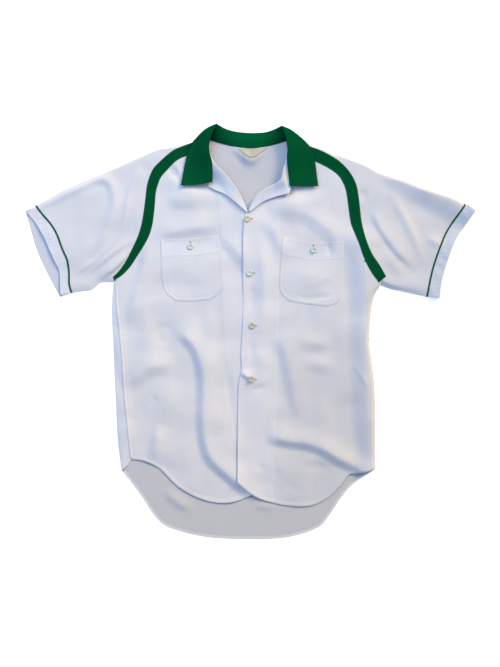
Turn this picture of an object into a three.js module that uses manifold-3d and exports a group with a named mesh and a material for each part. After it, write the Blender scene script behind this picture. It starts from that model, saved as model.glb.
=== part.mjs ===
// A short-sleeved bowling shirt, laid out face up on a flat surface.
// Millimetres. +X is the wearer's left, +Y points from the hem to the collar, +Z is up off the surface.
// The origin is on the surface, under the middle of the garment. "right" and "left" are the wearer's.
import * as THREE from "three";
import { mergeVertices } from "three/addons/utils/BufferGeometryUtils.js";
import Module from "manifold-3d";

const wasm = await Module();
wasm.setup();

// ---------------------------------------------------------------- driving sizes
const PLY = 1.0; // one ply of cloth
const COLLAR_PLY = 1.6; // top collar and under collar, sewn together
const SEAM = 0.3; // gap between two pieces that are sewn or lie on each other
const LAYER = PLY + SEAM; // how far one ply lifts the next
const GRID = 30; // spacing of the grid that all sheets share
const CURVE_STEP = 24; // spacing of the points along an outline
const BAND_WIDTH = 22; // green band on the raglan seam
const PIPING_WIDTH = 4;
const PIPING_PROUD = 0.8; // how far the piping stands above the sleeve
const BUTTON = { diameter: 11.5, thick: 2.4, hole: 1.6, holeCircle: 3.2, rim: 1.4, dish: 0.6 };
const STAND_SLOPE = 0.55; // rise of the back collar stand for each millimetre up the neck
const STAND_FOOT = { middle: 368.5, sideways: 0.16 }; // the stand starts at this Y, further up to the sides
const COLLAR_ROLL = 13; // how high the collar rolls at the side of the neck
const COLLAR_ROLL_FRONT = 4; // and where its front end meets the lapel
const CUSHION = 2.5; // how far the fronts stand off the back in the middle
// The back's neck rests on the collar's fall: fully lifted inside the inner lines, flat outside
// the edge lines.
const BED = { innerX: 5 * GRID, edgeX: 6 * GRID, edgeY: 10 * GRID, innerY: 11 * GRID, top: 440 };

// Green cloth, white cloth, satin facing, label, mother-of-pearl.
const COLOURS = {
  white: { color: 0xe4e7f0, roughness: 0.75, metalness: 0 },
  facing: { color: 0xe9ecf4, roughness: 0.5, metalness: 0 },
  green: { color: 0x00562c, roughness: 0.8, metalness: 0 },
  label: { color: 0xece6cf, roughness: 0.6, metalness: 0 },
  pearl: { color: 0xe6e2c4, roughness: 0.25, metalness: 0 },
};

// ---------------------------------------------------------------- outlines
// Each edge runs through the points where its direction changes, [x, y].
const NECK_SEAM = [[-79, 385], [-62, 379], [-42, 374], [-19, 369], [15, 369], [50, 376], [73, 383]];
const COLLAR_FOLD = [[-66, 414], [-48, 405], [-30, 400], [0, 397], [30, 398.5], [46, 403], [62, 410]];

// The body's sides, a row for each height: the side fold, and the side seam in front of it.
const SIDES = [
  { y: 97, rightFold: -274, rightSeam: -266, leftSeam: 229, leftFold: 256 },
  { y: 65, rightFold: -275, rightSeam: -264, leftSeam: 230, leftFold: 247 },
  { y: 25, rightFold: -275, rightSeam: -261, leftSeam: 233, leftFold: 241 },
  { y: -15, rightFold: -273, rightSeam: -257, leftSeam: 238, leftFold: 239 },
  { y: -55, rightFold: -271, rightSeam: -254, leftSeam: 242, leftFold: 242 },
  { y: -135, rightFold: -267, rightSeam: -248, leftSeam: 249, leftFold: 249 },
  { y: -215, rightFold: -262, rightSeam: -241, leftSeam: 251, leftFold: 251 },
  { y: -255, rightFold: -259, rightSeam: -237, leftSeam: 252, leftFold: 252 },
];
const LEFT_SEAM_TOP = [224, 142]; // the left side seam comes out from under the band here
const sideLine = (column) => SIDES.map((row) => [row[column], row.y]);

const BACK_HEM = [
  [-256, -277], [-216, -328], [-190, -367], [-169, -386], [-140, -398], [-99, -408], [-50, -413],
  [0, -414.5], [62, -412], [100, -404], [143, -384], [164, -358], [182, -331], [206, -302], [252, -273],
];
const RIGHT_HEM = [
  [-237, -255], [-216, -256], [-184, -270], [-143, -308], [-95, -334], [-50, -341], [-9, -332], [20, -312],
];
const LEFT_HEM = [
  [-25, -297], [0, -320], [21, -333], [47, -341], [72, -346], [102, -348], [127, -345], [147, -335],
  [164, -323], [180, -307], [192, -291], [205, -281], [228, -277], [252, -276],
];
const LEFT_FRONT_EDGE = [
  [-12, 232], [-12, 120], [-14, 17], [-19, -47], [-15, -89], [-20, -160], [-25, -232], [-25, -297],
];
const RIGHT_FRONT_EDGE = [[18, 236], [19, 0], [20, -312]];

// The left cuff's two plies end level with each other.
const LEFT_CUFF_END = [
  [450, 243], [437, 225], [427, 205], [415, 185], [403, 165], [395, 145], [389, 125], [383, 105],
  [381, 85], [378, 69],
];

// What is sewn on each side. The raglan seam runs from the neck to the armpit, the top from the
// neck to the cuff.
const RIGHT = {
  neck: [-80, 386],
  raglan: [
    [-86, 383], [-121, 365], [-148, 355], [-163, 343], [-183, 323], [-192, 303], [-198, 283], [-201, 255],
    [-204, 229], [-209, 205], [-219, 183], [-233, 156], [-248, 132], [-260, 118], [-276, 105],
  ],
  top: [
    [-96, 384], [-115, 379], [-137, 373], [-169, 367], [-190, 362], [-232, 345], [-276, 325],
    [-324, 305], [-370, 285], [-412, 265], [-427, 256],
  ],
  underarm: [[-356, 80], [-339, 83], [-317, 86], [-300, 97], [-276, 103]],
  piping: [
    [-427, 256], [-414, 237], [-397, 217], [-385, 197], [-375, 170], [-363, 143], [-360, 121],
    [-360, 97], [-356, 80],
  ],
  cuffBack: [[-450, 243], [-438, 205], [-426, 165], [-408, 125], [-390, 85], [-380, 71]],
  cuffFront: [
    [-449, 241], [-438, 225], [-422, 203], [-411, 187], [-402, 166], [-390, 141], [-383, 120],
    [-380, 96], [-378, 72],
  ],
  roll: [[-83, 379], [-83, 371], [-81, 361], [-72, 339], [-44, 309], [-20, 275], [-5, 244]],
  lapelEdge: [[-73, 285], [-50, 274], [-17, 251]],
  pocket: { centre: [-116, 127], width: 120, height: 127, tilt: 4, corner: 15 },
  leaf: {
    over: [[-66, 414], [-90, 403], [-114, 380]],
    outer: [[-114, 380], [-126, 353], [-138, 293]],
    end: [[-138, 293], [-106, 294], [-76, 299]],
    inner: [[-76, 299], [-76, 345], [-81, 361], [-83, 371], [-78, 389], [-66, 414]],
  },
};
const LEFT = {
  neck: [74, 384],
  raglan: [
    [82, 380], [124, 359], [143, 350], [163, 339], [181, 325], [193, 309], [201, 288], [205, 261],
    [210, 235], [218, 206], [228, 175], [238, 147], [250, 123], [264, 100],
  ],
  top: [
    [92, 381], [120, 374], [142, 365], [161, 359], [184, 351], [218, 337], [256, 318], [289, 311],
    [330, 297], [364, 285], [418, 265], [429, 257],
  ],
  underarm: [[353, 73], [304, 83], [269, 91]],
  piping: [[429, 257], [391, 199], [370, 146], [360, 109], [353, 73]],
  cuffBack: LEFT_CUFF_END,
  cuffFront: LEFT_CUFF_END,
  roll: [[76, 377], [75, 365], [74, 349], [70, 325], [60, 303], [32, 286], [12, 269], [-2, 244]],
  lapelEdge: [[78, 277], [50, 270], [24, 259], [4, 246]],
  pocket: { centre: [123, 119], width: 122, height: 125, tilt: -3.3, corner: 15 },
  leaf: {
    over: [[62, 410], [82, 403], [104, 389], [120, 374]],
    outer: [[120, 374], [128, 349], [137, 293]],
    end: [[137, 293], [110, 291], [80, 291]],
    inner: [[80, 291], [77, 315], [74, 345], [75, 365], [72, 389], [62, 410]],
  },
};
const COLLAR_FALL_BACK = [
  [-114, 380], [-122, 358], [-80, 350], [0, 346], [80, 350], [124, 356], [120, 374],
];
const LABEL = [[-24, 367], [36, 369], [18, 357], [8, 351], [-4, 351], [-13, 358]];
const BUTTONS = [
  { name: "button_1", at: [-5, 227] },
  { name: "button_2", at: [-1, 119] },
  { name: "button_3", at: [4, 14] },
  { name: "button_4", at: [3, -93] },
];
const POCKET_BUTTONS = [
  { name: "pocket_button_right", at: [-119, 172], side: "right" },
  { name: "pocket_button_left", at: [127, 165], side: "left" },
];

const LOOP = {
  radius: 0.7,
  centre: [84, 282],
  path: [[81.2, 286], [86, 286], [88.5, 283], [88, 279.5], [84, 278], [80.4, 279.5]],
};

// The largest folds of the fronts and sleeves: the crest's path, its height and its half width.
const FOLDS = [
  { name: "long right fold", height: 8, reach: 34, path: [
    [-135, 5], [-104, -25], [-92, -70], [-92, -180], [-70, -240], [-20, -300],
  ] },
  { name: "right waist fold", height: 5, reach: 30, path: [[-235, -90], [-205, -72], [-150, -68]] },
  { name: "right chest fold", height: 5, reach: 28, path: [[-175, 225], [-120, 226], [-66, 232]] },
  { name: "right shoulder fold", height: 5, reach: 28, path: [[-175, 268], [-120, 271], [-70, 262]] },
  { name: "left collar fold", height: 6, reach: 34, path: [[40, 262], [110, 268], [165, 290], [178, 318]] },
  { name: "left placket fold", height: 6, reach: 32, path: [[20, 190], [34, 120], [30, 0]] },
  { name: "left waist fold", height: 7, reach: 34, path: [[62, -30], [88, -70], [96, -130]] },
  { name: "left hem fold", height: 8, reach: 34, path: [[10, -214], [85, -213], [150, -228], [212, -262]] },
  { name: "left side fold", height: 6, reach: 36, path: [[196, 130], [200, 20], [206, -120]] },
  { name: "right side fold", height: 5, reach: 32, path: [[-210, 120], [-205, 30], [-212, -40]] },
  { name: "right sleeve fold", height: 8, reach: 42, path: [[-225, 320], [-255, 250], [-300, 140]] },
  { name: "left sleeve fold", height: 8, reach: 38, path: [[232, 260], [262, 190], [305, 115]] },
  { name: "right cuff fold", height: 5, reach: 45, path: [[-345, 260], [-395, 170]] },
  { name: "left cuff fold", height: 5, reach: 45, path: [[330, 250], [375, 150]] },
  { name: "right lapel roll", height: 5, reach: 26, path: [
    [-83, 371], [-72, 339], [-44, 309], [-20, 275],
  ] },
  { name: "left lapel roll", height: 6, reach: 26, path: [[75, 365], [70, 325], [50, 300], [24, 276]] },
];

// ---------------------------------------------------------------- curves and solids
const flat = ([x, y]) => new THREE.Vector3(x, y, 0);

/** Points spaced evenly along a smooth curve through the given ones. */
function smooth(points) {
  const curve = new THREE.CatmullRomCurve3(points.map(flat), false, "centripetal");
  const pieces = Math.max(1, Math.round(curve.getLength() / CURVE_STEP));
  return curve.getSpacedPoints(pieces).map((p) => [p.x, p.y]);
}

/** The same line, moved sideways: a positive distance moves it to the left of its own direction. */
function beside(line, distance) {
  return line.map(([x, y], i) => {
    const [ax, ay] = line[Math.max(0, i - 1)];
    const [bx, by] = line[Math.min(line.length - 1, i + 1)];
    const length = Math.hypot(bx - ax, by - ay);
    return [x - ((by - ay) / length) * distance, y + ((bx - ax) / length) * distance];
  });
}

const backwards = (line) => [...line].reverse();

/** A strip between a line and the same line moved sideways. */
const ribbon = (line, from, to) => [...beside(line, from), ...backwards(beside(line, to))];

function solidOf(geometry) {
  const bare = new THREE.BufferGeometry().setAttribute("position", geometry.getAttribute("position"));
  if (geometry.index) bare.setIndex(geometry.index);
  const merged = mergeVertices(bare, 1e-4);
  return new wasm.Manifold(
    new wasm.Mesh({
      numProp: 3,
      vertProperties: merged.attributes.position.array,
      triVerts: new Uint32Array(merged.index.array),
    }),
  );
}

function geometryOf(solid) {
  const mesh = solid.getMesh();
  const geometry = new THREE.BufferGeometry();
  geometry.setAttribute("position", new THREE.BufferAttribute(new Float32Array(mesh.vertProperties), 3));
  geometry.setIndex(new THREE.BufferAttribute(new Uint32Array(mesh.triVerts), 1));
  return geometry;
}

/** A block with the outline's plan, from one height to another. */
function block(outline, low = -50, high = 150) {
  const shape = new THREE.Shape(outline.map(([x, y]) => new THREE.Vector2(x, y)));
  const geometry = new THREE.ExtrudeGeometry(shape, { depth: high - low, bevelEnabled: false });
  return solidOf(geometry.translate(0, 0, low));
}

/** The closed body between two height functions on the shared grid, cut to an outline. */
function sheet(outline, bottom, top) {
  const xs = outline.map((p) => p[0]);
  const ys = outline.map((p) => p[1]);
  const firstColumn = Math.floor(Math.min(...xs) / GRID) - 1;
  const firstRow = Math.floor(Math.min(...ys) / GRID) - 1;
  const columns = Math.ceil(Math.max(...xs) / GRID) + 2 - firstColumn;
  const rows = Math.ceil(Math.max(...ys) / GRID) + 2 - firstRow;
  const positions = [];
  for (const height of [bottom, top]) {
    for (let r = 0; r < rows; r++) {
      for (let c = 0; c < columns; c++) {
        const x = (firstColumn + c) * GRID;
        const y = (firstRow + r) * GRID;
        positions.push(x, y, height(x, y));
      }
    }
  }
  const index = [];
  const at = (c, r, level) => level * rows * columns + r * columns + c;
  const quad = (a, b, c, d) => index.push(a, b, c, a, c, d);
  for (let r = 0; r + 1 < rows; r++) {
    for (let c = 0; c + 1 < columns; c++) {
      quad(at(c, r, 1), at(c + 1, r, 1), at(c + 1, r + 1, 1), at(c, r + 1, 1));
      index.push(at(c, r, 0), at(c + 1, r + 1, 0), at(c + 1, r, 0));
      index.push(at(c, r, 0), at(c, r + 1, 0), at(c + 1, r + 1, 0));
    }
  }
  for (let c = 0; c + 1 < columns; c++) {
    quad(at(c, 0, 0), at(c + 1, 0, 0), at(c + 1, 0, 1), at(c, 0, 1));
    quad(at(c + 1, rows - 1, 0), at(c, rows - 1, 0), at(c, rows - 1, 1), at(c + 1, rows - 1, 1));
  }
  for (let r = 0; r + 1 < rows; r++) {
    quad(at(0, r + 1, 0), at(0, r, 0), at(0, r, 1), at(0, r + 1, 1));
    const last = columns - 1;
    quad(at(last, r, 0), at(last, r + 1, 0), at(last, r + 1, 1), at(last, r, 1));
  }
  const geometry = new THREE.BufferGeometry();
  geometry.setAttribute("position", new THREE.Float32BufferAttribute(positions, 3));
  geometry.setIndex(index);
  return solidOf(geometry).intersect(block(outline));
}

const joined = (...solids) => solids.reduce((all, solid) => all.add(solid));

// ---------------------------------------------------------------- heights
const ramp = (value, zero, one) => THREE.MathUtils.smoothstep((value - zero) / (one - zero), 0, 1);
const plus = (height, more) => (x, y) => height(x, y) + more;

/** Distance from a point to a path, and how far along the path the nearest point is, 0 to 1. */
function nearest(x, y, path) {
  let best = { distance: Infinity, along: 0 };
  for (let i = 0; i + 1 < path.length; i++) {
    const [ax, ay] = path[i];
    const [bx, by] = path[i + 1];
    const length2 = (bx - ax) ** 2 + (by - ay) ** 2;
    const t = THREE.MathUtils.clamp(((x - ax) * (bx - ax) + (y - ay) * (by - ay)) / length2, 0, 1);
    const distance = Math.hypot(x - ax - t * (bx - ax), y - ay - t * (by - ay));
    if (distance < best.distance) best = { distance, along: (i + t) / (path.length - 1) };
  }
  return best;
}

function foldHeight(x, y) {
  let height = 0;
  for (const fold of FOLDS) {
    const { distance, along } = nearest(x, y, fold.path);
    if (distance < fold.reach) {
      const across = (1 - (distance / fold.reach) ** 2) ** 2;
      const lengthwise = 0.35 + 0.65 * Math.sin(Math.PI * THREE.MathUtils.clamp(along, 0.05, 0.95));
      height += fold.height * across * lengthwise;
    }
  }
  return height;
}

/** 0 on the garment's own edge and 1 well inside it, so that edges lie down on the surface. */
function inside(x, y) {
  const body = ramp(x, -272, -225) * ramp(-x, -250, -200);
  const sleeves = ramp(y, 72 + Math.abs(x) * 0.02, 130) * ramp(-y - 0.43 * Math.abs(x), -436, -395);
  return y > 110 ? Math.max(sleeves, body * ramp(-y, -400, -340)) : body;
}

// The back lies on the surface, and rests on the collar's fall below the neck.
const lying = (x, y) =>
  (COLLAR_PLY + SEAM) * ramp(y, BED.edgeY, BED.innerY) * ramp(-Math.abs(x), -BED.edgeX, -BED.innerX);
const backTop = plus(lying, PLY);
const frontLift = (x, y) =>
  inside(x, y) * (CUSHION * ramp(y, -330, -250) + foldHeight(x, y));
const front = (x, y) => backTop(x, y) + SEAM + frontLift(x, y);
const frontTop = plus(front, PLY);
// The left front laps over the right one along the placket.
const lap = (x) => LAYER * (1 - ramp(x, GRID, 2 * GRID));
const leftFront = (x, y) => front(x, y) + lap(x);
const leftFrontTop = plus(leftFront, PLY);

/** The collar leaf lies on band and lapel at its outer edge and rises to the roll round the neck. */
function leaf(x, y) {
  const roll = Math.max(
    ramp(-nearest(x, y, RIGHT.leaf.inner).distance, -60, 0),
    ramp(-nearest(x, y, LEFT.leaf.inner).distance, -60, 0),
  );
  const high = COLLAR_ROLL_FRONT + (COLLAR_ROLL - COLLAR_ROLL_FRONT) * ramp(y, 300, 380);
  return front(x, y) + 2 * LAYER + high * roll;
}
const leafTop = plus(leaf, COLLAR_PLY);
// The back stand slopes up from the neck seam to the collar's fold.
const stand = (x, y) =>
  COLLAR_PLY + SEAM + (y - STAND_FOOT.middle - Math.abs(x) * STAND_FOOT.sideways) * STAND_SLOPE;
const standTop = plus(stand, COLLAR_PLY);
const ground = () => 0;

// ---------------------------------------------------------------- pieces
const group = new THREE.Group();

function add(name, finish, solid) {
  const material = new THREE.MeshStandardMaterial(COLOURS[finish]);
  const mesh = new THREE.Mesh(geometryOf(solid), material);
  mesh.name = name;
  group.add(mesh);
}

const rightRaglan = smooth(RIGHT.raglan);
const leftRaglan = smooth(LEFT.raglan);
const rightSeam = smooth(sideLine("rightSeam"));
const leftSeam = smooth([LEFT_SEAM_TOP, ...sideLine("leftSeam")]);
const rightFold = smooth(sideLine("rightFold"));
const leftFold = smooth(sideLine("leftFold"));
const half = SEAM / 2;

/** The ply on the surface: a flat plate, and round the neck a sheet that rests on the collar's fall. */
function backPly(outline) {
  const bed = (margin) => {
    const x = BED.edgeX + margin;
    const y = BED.edgeY - margin;
    return block([[-x, y], [x, y], [x, BED.top], [-x, BED.top]]);
  };
  const flatPart = block(outline, 0, PLY).subtract(bed(1));
  return flatPart.add(sheet(outline, lying, backTop).intersect(bed(2)));
}

/** One cloth tube laid flat: the back ply, the front ply and the folds that join them along each edge. */
function tube(backPlan, frontPlan, folds, topOf = frontTop) {
  const walls = folds.map((strip) => sheet(strip, lying, topOf));
  return joined(backPly(backPlan), sheet(frontPlan, front, topOf), ...walls);
}

// Back, with the two strips that come round the side folds to meet the fronts at the side seams.
const backPlan = [
  ...smooth(NECK_SEAM),
  ...beside(leftRaglan, -half),
  ...leftFold,
  ...backwards(smooth(BACK_HEM)),
  ...backwards(rightFold),
  ...backwards(beside(rightRaglan, half)),
];
const rightStrip = [...rightFold, BACK_HEM[0], ...backwards(beside(rightSeam, -half))];
const leftStripRows = leftFold.filter((p) => p[1] > -15);
const leftStripTop = beside(leftRaglan, -half).filter((p) => p[1] < LEFT_SEAM_TOP[1] - 4);
const leftStripSeam = beside(leftSeam, half).filter((p) => p[1] > -15);
const leftStrip = [...leftStripTop, ...leftStripRows, ...backwards(leftStripSeam)];
add(
  "back",
  "white",
  joined(
    backPly(backPlan),
    sheet(rightStrip, front, frontTop),
    sheet(ribbon([...rightFold, BACK_HEM[0]], 0, PLY), lying, frontTop),
    sheet(leftStrip, front, frontTop),
    sheet(ribbon(leftStripRows, -PLY, 0), lying, frontTop),
  ),
);

// Fronts.
add(
  "front_right",
  "white",
  sheet(
    [
      ...smooth(RIGHT.roll),
      ...smooth(RIGHT_FRONT_EDGE),
      ...backwards(smooth(RIGHT_HEM)),
      ...backwards(beside(rightSeam, half)),
      ...backwards(beside(rightRaglan, half)),
    ],
    front,
    frontTop,
  ),
);
add(
  "front_left",
  "white",
  sheet(
    [
      ...backwards(smooth(LEFT.roll)),
      ...beside(leftRaglan, -half).filter((p) => p[1] > LEFT_SEAM_TOP[1] + 4),
      ...beside(leftSeam, -half),
      ...backwards(smooth(LEFT_HEM)),
      ...backwards(smooth(LEFT_FRONT_EDGE)),
    ],
    leftFront,
    leftFrontTop,
  ),
);

// Sleeves, piping and cuffs: three flat tubes one after the other on each side.
for (const [name, side, out] of [["right", RIGHT, -1], ["left", LEFT, 1]]) {
  const raglan = beside(smooth(side.raglan), out * half);
  const top = smooth(side.top);
  const under = smooth(side.underarm);
  const piping = smooth(side.piping);
  const sleevePlan = [...raglan, ...backwards(under), ...backwards(piping), ...backwards(top)];
  const inward = -out * PLY;
  add(
    "sleeve_" + name,
    "white",
    tube(sleevePlan, sleevePlan, [ribbon(top, 0, inward), ribbon(under, 0, inward)]),
  );

  const strip = ribbon(piping, out * SEAM, out * (SEAM + PIPING_WIDTH));
  const near = beside(piping, out * SEAM);
  const far = beside(piping, out * (SEAM + PIPING_WIDTH));
  const last = piping.length - 1;
  const ends = [[near[0], far[0], far[1], near[1]], [near[last - 1], far[last - 1], far[last], near[last]]];
  const proud = plus(frontTop, PIPING_PROUD);
  const shortEnds = ends.map(([a, b, c, d], i) => {
    const keep = 0.25;
    const mix = (p, q, t) => [p[0] + (q[0] - p[0]) * t, p[1] + (q[1] - p[1]) * t];
    return i === 0 ? [a, b, mix(b, c, keep), mix(a, d, keep)] : [mix(d, a, keep), mix(c, b, keep), c, d];
  });
  add("piping_" + name, "green", tube(strip, strip, shortEnds, proud));

  const cuffStart = beside(piping, out * (2 * SEAM + PIPING_WIDTH));
  const cuffBack = smooth(side.cuffBack);
  const cuffFront = smooth(side.cuffFront);
  const backCuffPlan = [...cuffStart, ...backwards(cuffBack)];
  const frontCuffPlan = [...cuffStart, ...backwards(cuffFront)];
  const topEdge = [cuffStart[0], cuffFront[0]];
  const underEdge = [cuffFront[cuffFront.length - 1], cuffStart[cuffStart.length - 1]];
  add(
    "cuff_" + name,
    "facing",
    tube(backCuffPlan, frontCuffPlan, [ribbon(topEdge, 0, inward), ribbon(underEdge, 0, inward)]),
  );
}

// Bands over the front raglan seams, cut off at the garment's edge.
for (const [name, side, seam] of [["right", RIGHT, rightRaglan], ["left", LEFT, leftRaglan]]) {
  const strip = ribbon(seam, -BAND_WIDTH / 2, BAND_WIDTH / 2);
  const sides = name === "right" ? rightFold : leftFold;
  const armpit = smooth(side.underarm).reverse().slice(0, 1);
  const limit = [...smooth(side.top), ...armpit, ...sides, [0, -255], [0, 384]];
  const band = sheet(strip, plus(front, LAYER), plus(frontTop, LAYER));
  add("band_" + name, "green", band.intersect(block(limit)));
}

// Lapels: the facing turned out over each front, from the roll to the lapel's edge.
for (const [name, side, height] of [["right", RIGHT, front], ["left", LEFT, leftFront]]) {
  const start = side.roll.findIndex((p) => p[1] < 350);
  const roll = smooth([side.roll[start - 1], ...side.roll.slice(start, -1)]);
  const inset = name === "right" ? -1 : 1;
  const plan = [...beside(roll, inset), ...backwards(smooth(side.lapelEdge))];
  add("lapel_" + name, "facing", sheet(plan, plus(height, LAYER), plus(height, LAYER + PLY)));
}

// Pockets.
for (const [name, side, height] of [["right", RIGHT, front], ["left", LEFT, leftFront]]) {
  const { centre, width, height: tall, tilt, corner } = side.pocket;
  const [w, h] = [width / 2, tall / 2];
  const turn = THREE.MathUtils.degToRad(tilt);
  const plan = [[-w, h], [w, h], [w, corner - h], [w - corner, -h], [corner - w, -h], [-w, corner - h]].map(
    ([x, y]) => [
      centre[0] + x * Math.cos(turn) - y * Math.sin(turn),
      centre[1] + x * Math.sin(turn) + y * Math.cos(turn),
    ],
  );
  add("pocket_" + name, "white", sheet(plan, plus(height, LAYER), plus(height, LAYER + PLY)));
}

// Collar: two leaves on the fronts, the stand round the back of the neck and the fall folded behind it.
const collarParts = [];
const collarFold = smooth(COLLAR_FOLD);
const standPlan = [...beside(smooth(NECK_SEAM), SEAM), ...backwards(collarFold)];
const rightOver = smooth(RIGHT.leaf.over);
const leftOver = smooth(LEFT.leaf.over);
const fallBack = backwards(smooth(COLLAR_FALL_BACK));
const fallPlan = [...backwards(rightOver), ...collarFold, ...leftOver, ...fallBack];
collarParts.push(sheet(standPlan, stand, standTop));
collarParts.push(sheet(fallPlan, ground, () => COLLAR_PLY));
collarParts.push(sheet(ribbon(collarFold, 0, -COLLAR_PLY), ground, standTop));
for (const [side, out] of [[RIGHT, -1], [LEFT, 1]]) {
  const over = smooth(side.leaf.over);
  const inner = smooth(side.leaf.inner);
  const plan = [...over, ...smooth(side.leaf.outer), ...smooth(side.leaf.end), ...inner];
  collarParts.push(sheet(plan, leaf, leafTop));
  const free = over.filter((p) => p[1] > 387);
  collarParts.push(sheet(ribbon(free, 0, -out * COLLAR_PLY), ground, leafTop));
  const roll = inner.filter((p) => p[1] > 345);
  collarParts.push(sheet(ribbon(roll, 0, out * -COLLAR_PLY), plus(front, 2 * LAYER), leafTop));
}
add("collar", "green", joined(...collarParts));

// Label hanging from the neck seam over the inside of the back.
add("label", "label", sheet(LABEL, plus(backTop, SEAM), plus(backTop, LAYER)));

/** A four-hole button with a raised rim, resting on the cloth below it. */
function button(at, restsOn) {
  const radius = BUTTON.diameter / 2;
  const profile = [
    [0, 0],
    [radius, 0],
    [radius, BUTTON.thick],
    [radius - BUTTON.rim, BUTTON.thick],
    [radius - BUTTON.rim - 0.6, BUTTON.thick - BUTTON.dish],
    [0, BUTTON.thick - BUTTON.dish],
  ].map(([x, y]) => new THREE.Vector2(x, y));
  let disc = solidOf(new THREE.LatheGeometry(profile, 14).rotateX(Math.PI / 2));
  for (let k = 0; k < 4; k++) {
    const angle = Math.PI / 4 + (k * Math.PI) / 2;
    const hole = new THREE.CylinderGeometry(BUTTON.hole / 2, BUTTON.hole / 2, 10, 5).rotateX(Math.PI / 2);
    const r = BUTTON.holeCircle / 2;
    disc = disc.subtract(solidOf(hole.translate(r * Math.cos(angle), r * Math.sin(angle), 0)));
  }
  return disc.translate([at[0], at[1], highest(at, radius, restsOn) + SEAM]);
}

/** A height function as the shared grid's facets give it between its points. */
function facetHeight(x, y, height) {
  const c = Math.floor(x / GRID);
  const r = Math.floor(y / GRID);
  const u = x / GRID - c;
  const v = y / GRID - r;
  const corner = (i, j) => height((c + i) * GRID, (r + j) * GRID);
  return u > v
    ? corner(0, 0) + u * (corner(1, 0) - corner(0, 0)) + v * (corner(1, 1) - corner(1, 0))
    : corner(0, 0) + v * (corner(0, 1) - corner(0, 0)) + u * (corner(1, 1) - corner(0, 1));
}

/** The highest point of a faceted sheet within a radius. */
function highest([x0, y0], radius, height) {
  let top = -Infinity;
  for (let x = -radius; x <= radius; x++) {
    for (let y = -radius; y <= radius; y++) top = Math.max(top, facetHeight(x0 + x, y0 + y, height));
  }
  return top;
}

for (const { name, at } of BUTTONS) add(name, "pearl", button(at, leftFrontTop));
for (const { name, at, side } of POCKET_BUTTONS) {
  const cloth = side === "right" ? frontTop : leftFrontTop;
  add(name, "pearl", button(at, plus(cloth, LAYER)));
}

/** Thread loop beside the left lapel's tip, for buttoning the collar. */
function loop() {
  const { radius, centre, path } = LOOP;
  const base = highest(centre, 5, leftFrontTop) + SEAM + radius;
  const curve = new THREE.CatmullRomCurve3(path.map(([x, y]) => new THREE.Vector3(x, y, base)));
  const section = new THREE.Shape();
  section.absarc(0, 0, radius, 0, 2 * Math.PI);
  const options = { steps: 10, extrudePath: curve, curveSegments: 3, bevelEnabled: false };
  return solidOf(new THREE.ExtrudeGeometry(section, options));
}
add("collar_loop", "facing", loop());

export default group;
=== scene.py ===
"""A bowling shirt laid flat, face up: its cloth, trims, buttons and stitching.

Tables and heights are in millimetres in the frame's axes: +X is the wearer's left, +Y points from hem to
collar, +Z is up. "right" and "left" are the wearer's. Meshes are made in metres.
"""

import math
from collections import namedtuple

import bmesh
import bpy
import numpy as np
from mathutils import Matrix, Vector
from mathutils.geometry import delaunay_2d_cdt


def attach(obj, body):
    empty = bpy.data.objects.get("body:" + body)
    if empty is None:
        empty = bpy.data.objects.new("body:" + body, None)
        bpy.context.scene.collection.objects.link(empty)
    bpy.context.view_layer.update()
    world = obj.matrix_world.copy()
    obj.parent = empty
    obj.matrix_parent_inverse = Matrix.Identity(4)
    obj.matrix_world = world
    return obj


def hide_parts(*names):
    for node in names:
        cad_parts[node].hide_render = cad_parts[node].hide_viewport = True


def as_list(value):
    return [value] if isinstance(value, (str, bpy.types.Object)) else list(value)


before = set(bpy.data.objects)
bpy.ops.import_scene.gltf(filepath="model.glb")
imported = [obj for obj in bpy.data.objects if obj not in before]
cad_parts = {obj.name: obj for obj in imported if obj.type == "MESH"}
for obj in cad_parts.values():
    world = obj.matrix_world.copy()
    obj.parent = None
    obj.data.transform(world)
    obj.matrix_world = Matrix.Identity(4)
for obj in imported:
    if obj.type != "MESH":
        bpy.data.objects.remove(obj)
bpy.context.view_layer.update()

MM = 0.001
CLOTH = 0.5  # thickness of one ply
COLLAR_CLOTH = 1.2
LABEL_CLOTH = 0.35
GAP = 0.1  # air between plies that lie on each other
BACK_TOP = 0.7  # inner face of the back where it lies on the surface
COLLAR_BED = 1.5  # how far the collar's fall lifts the back of the neck
CUFF_WIDTH = 24.0
HEM = 5.0
POCKET_HEM = 34.0
SPACING = 3.5  # between the vertices of the fronts and sleeves


# ---------------------------------------------------------------- camera
def add_camera():
    """Straight above the garment, the whole of it in a tall frame."""
    centre_y = -0.002
    height = 2.41
    data = bpy.data.cameras.new("camera")
    data.lens = 65
    data.sensor_width = 36
    data.clip_end = 20
    camera = bpy.data.objects.new("camera", data)
    camera.location = (0, centre_y, height)
    bpy.context.collection.objects.link(camera)
    bpy.context.scene.camera = camera


add_camera()

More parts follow.
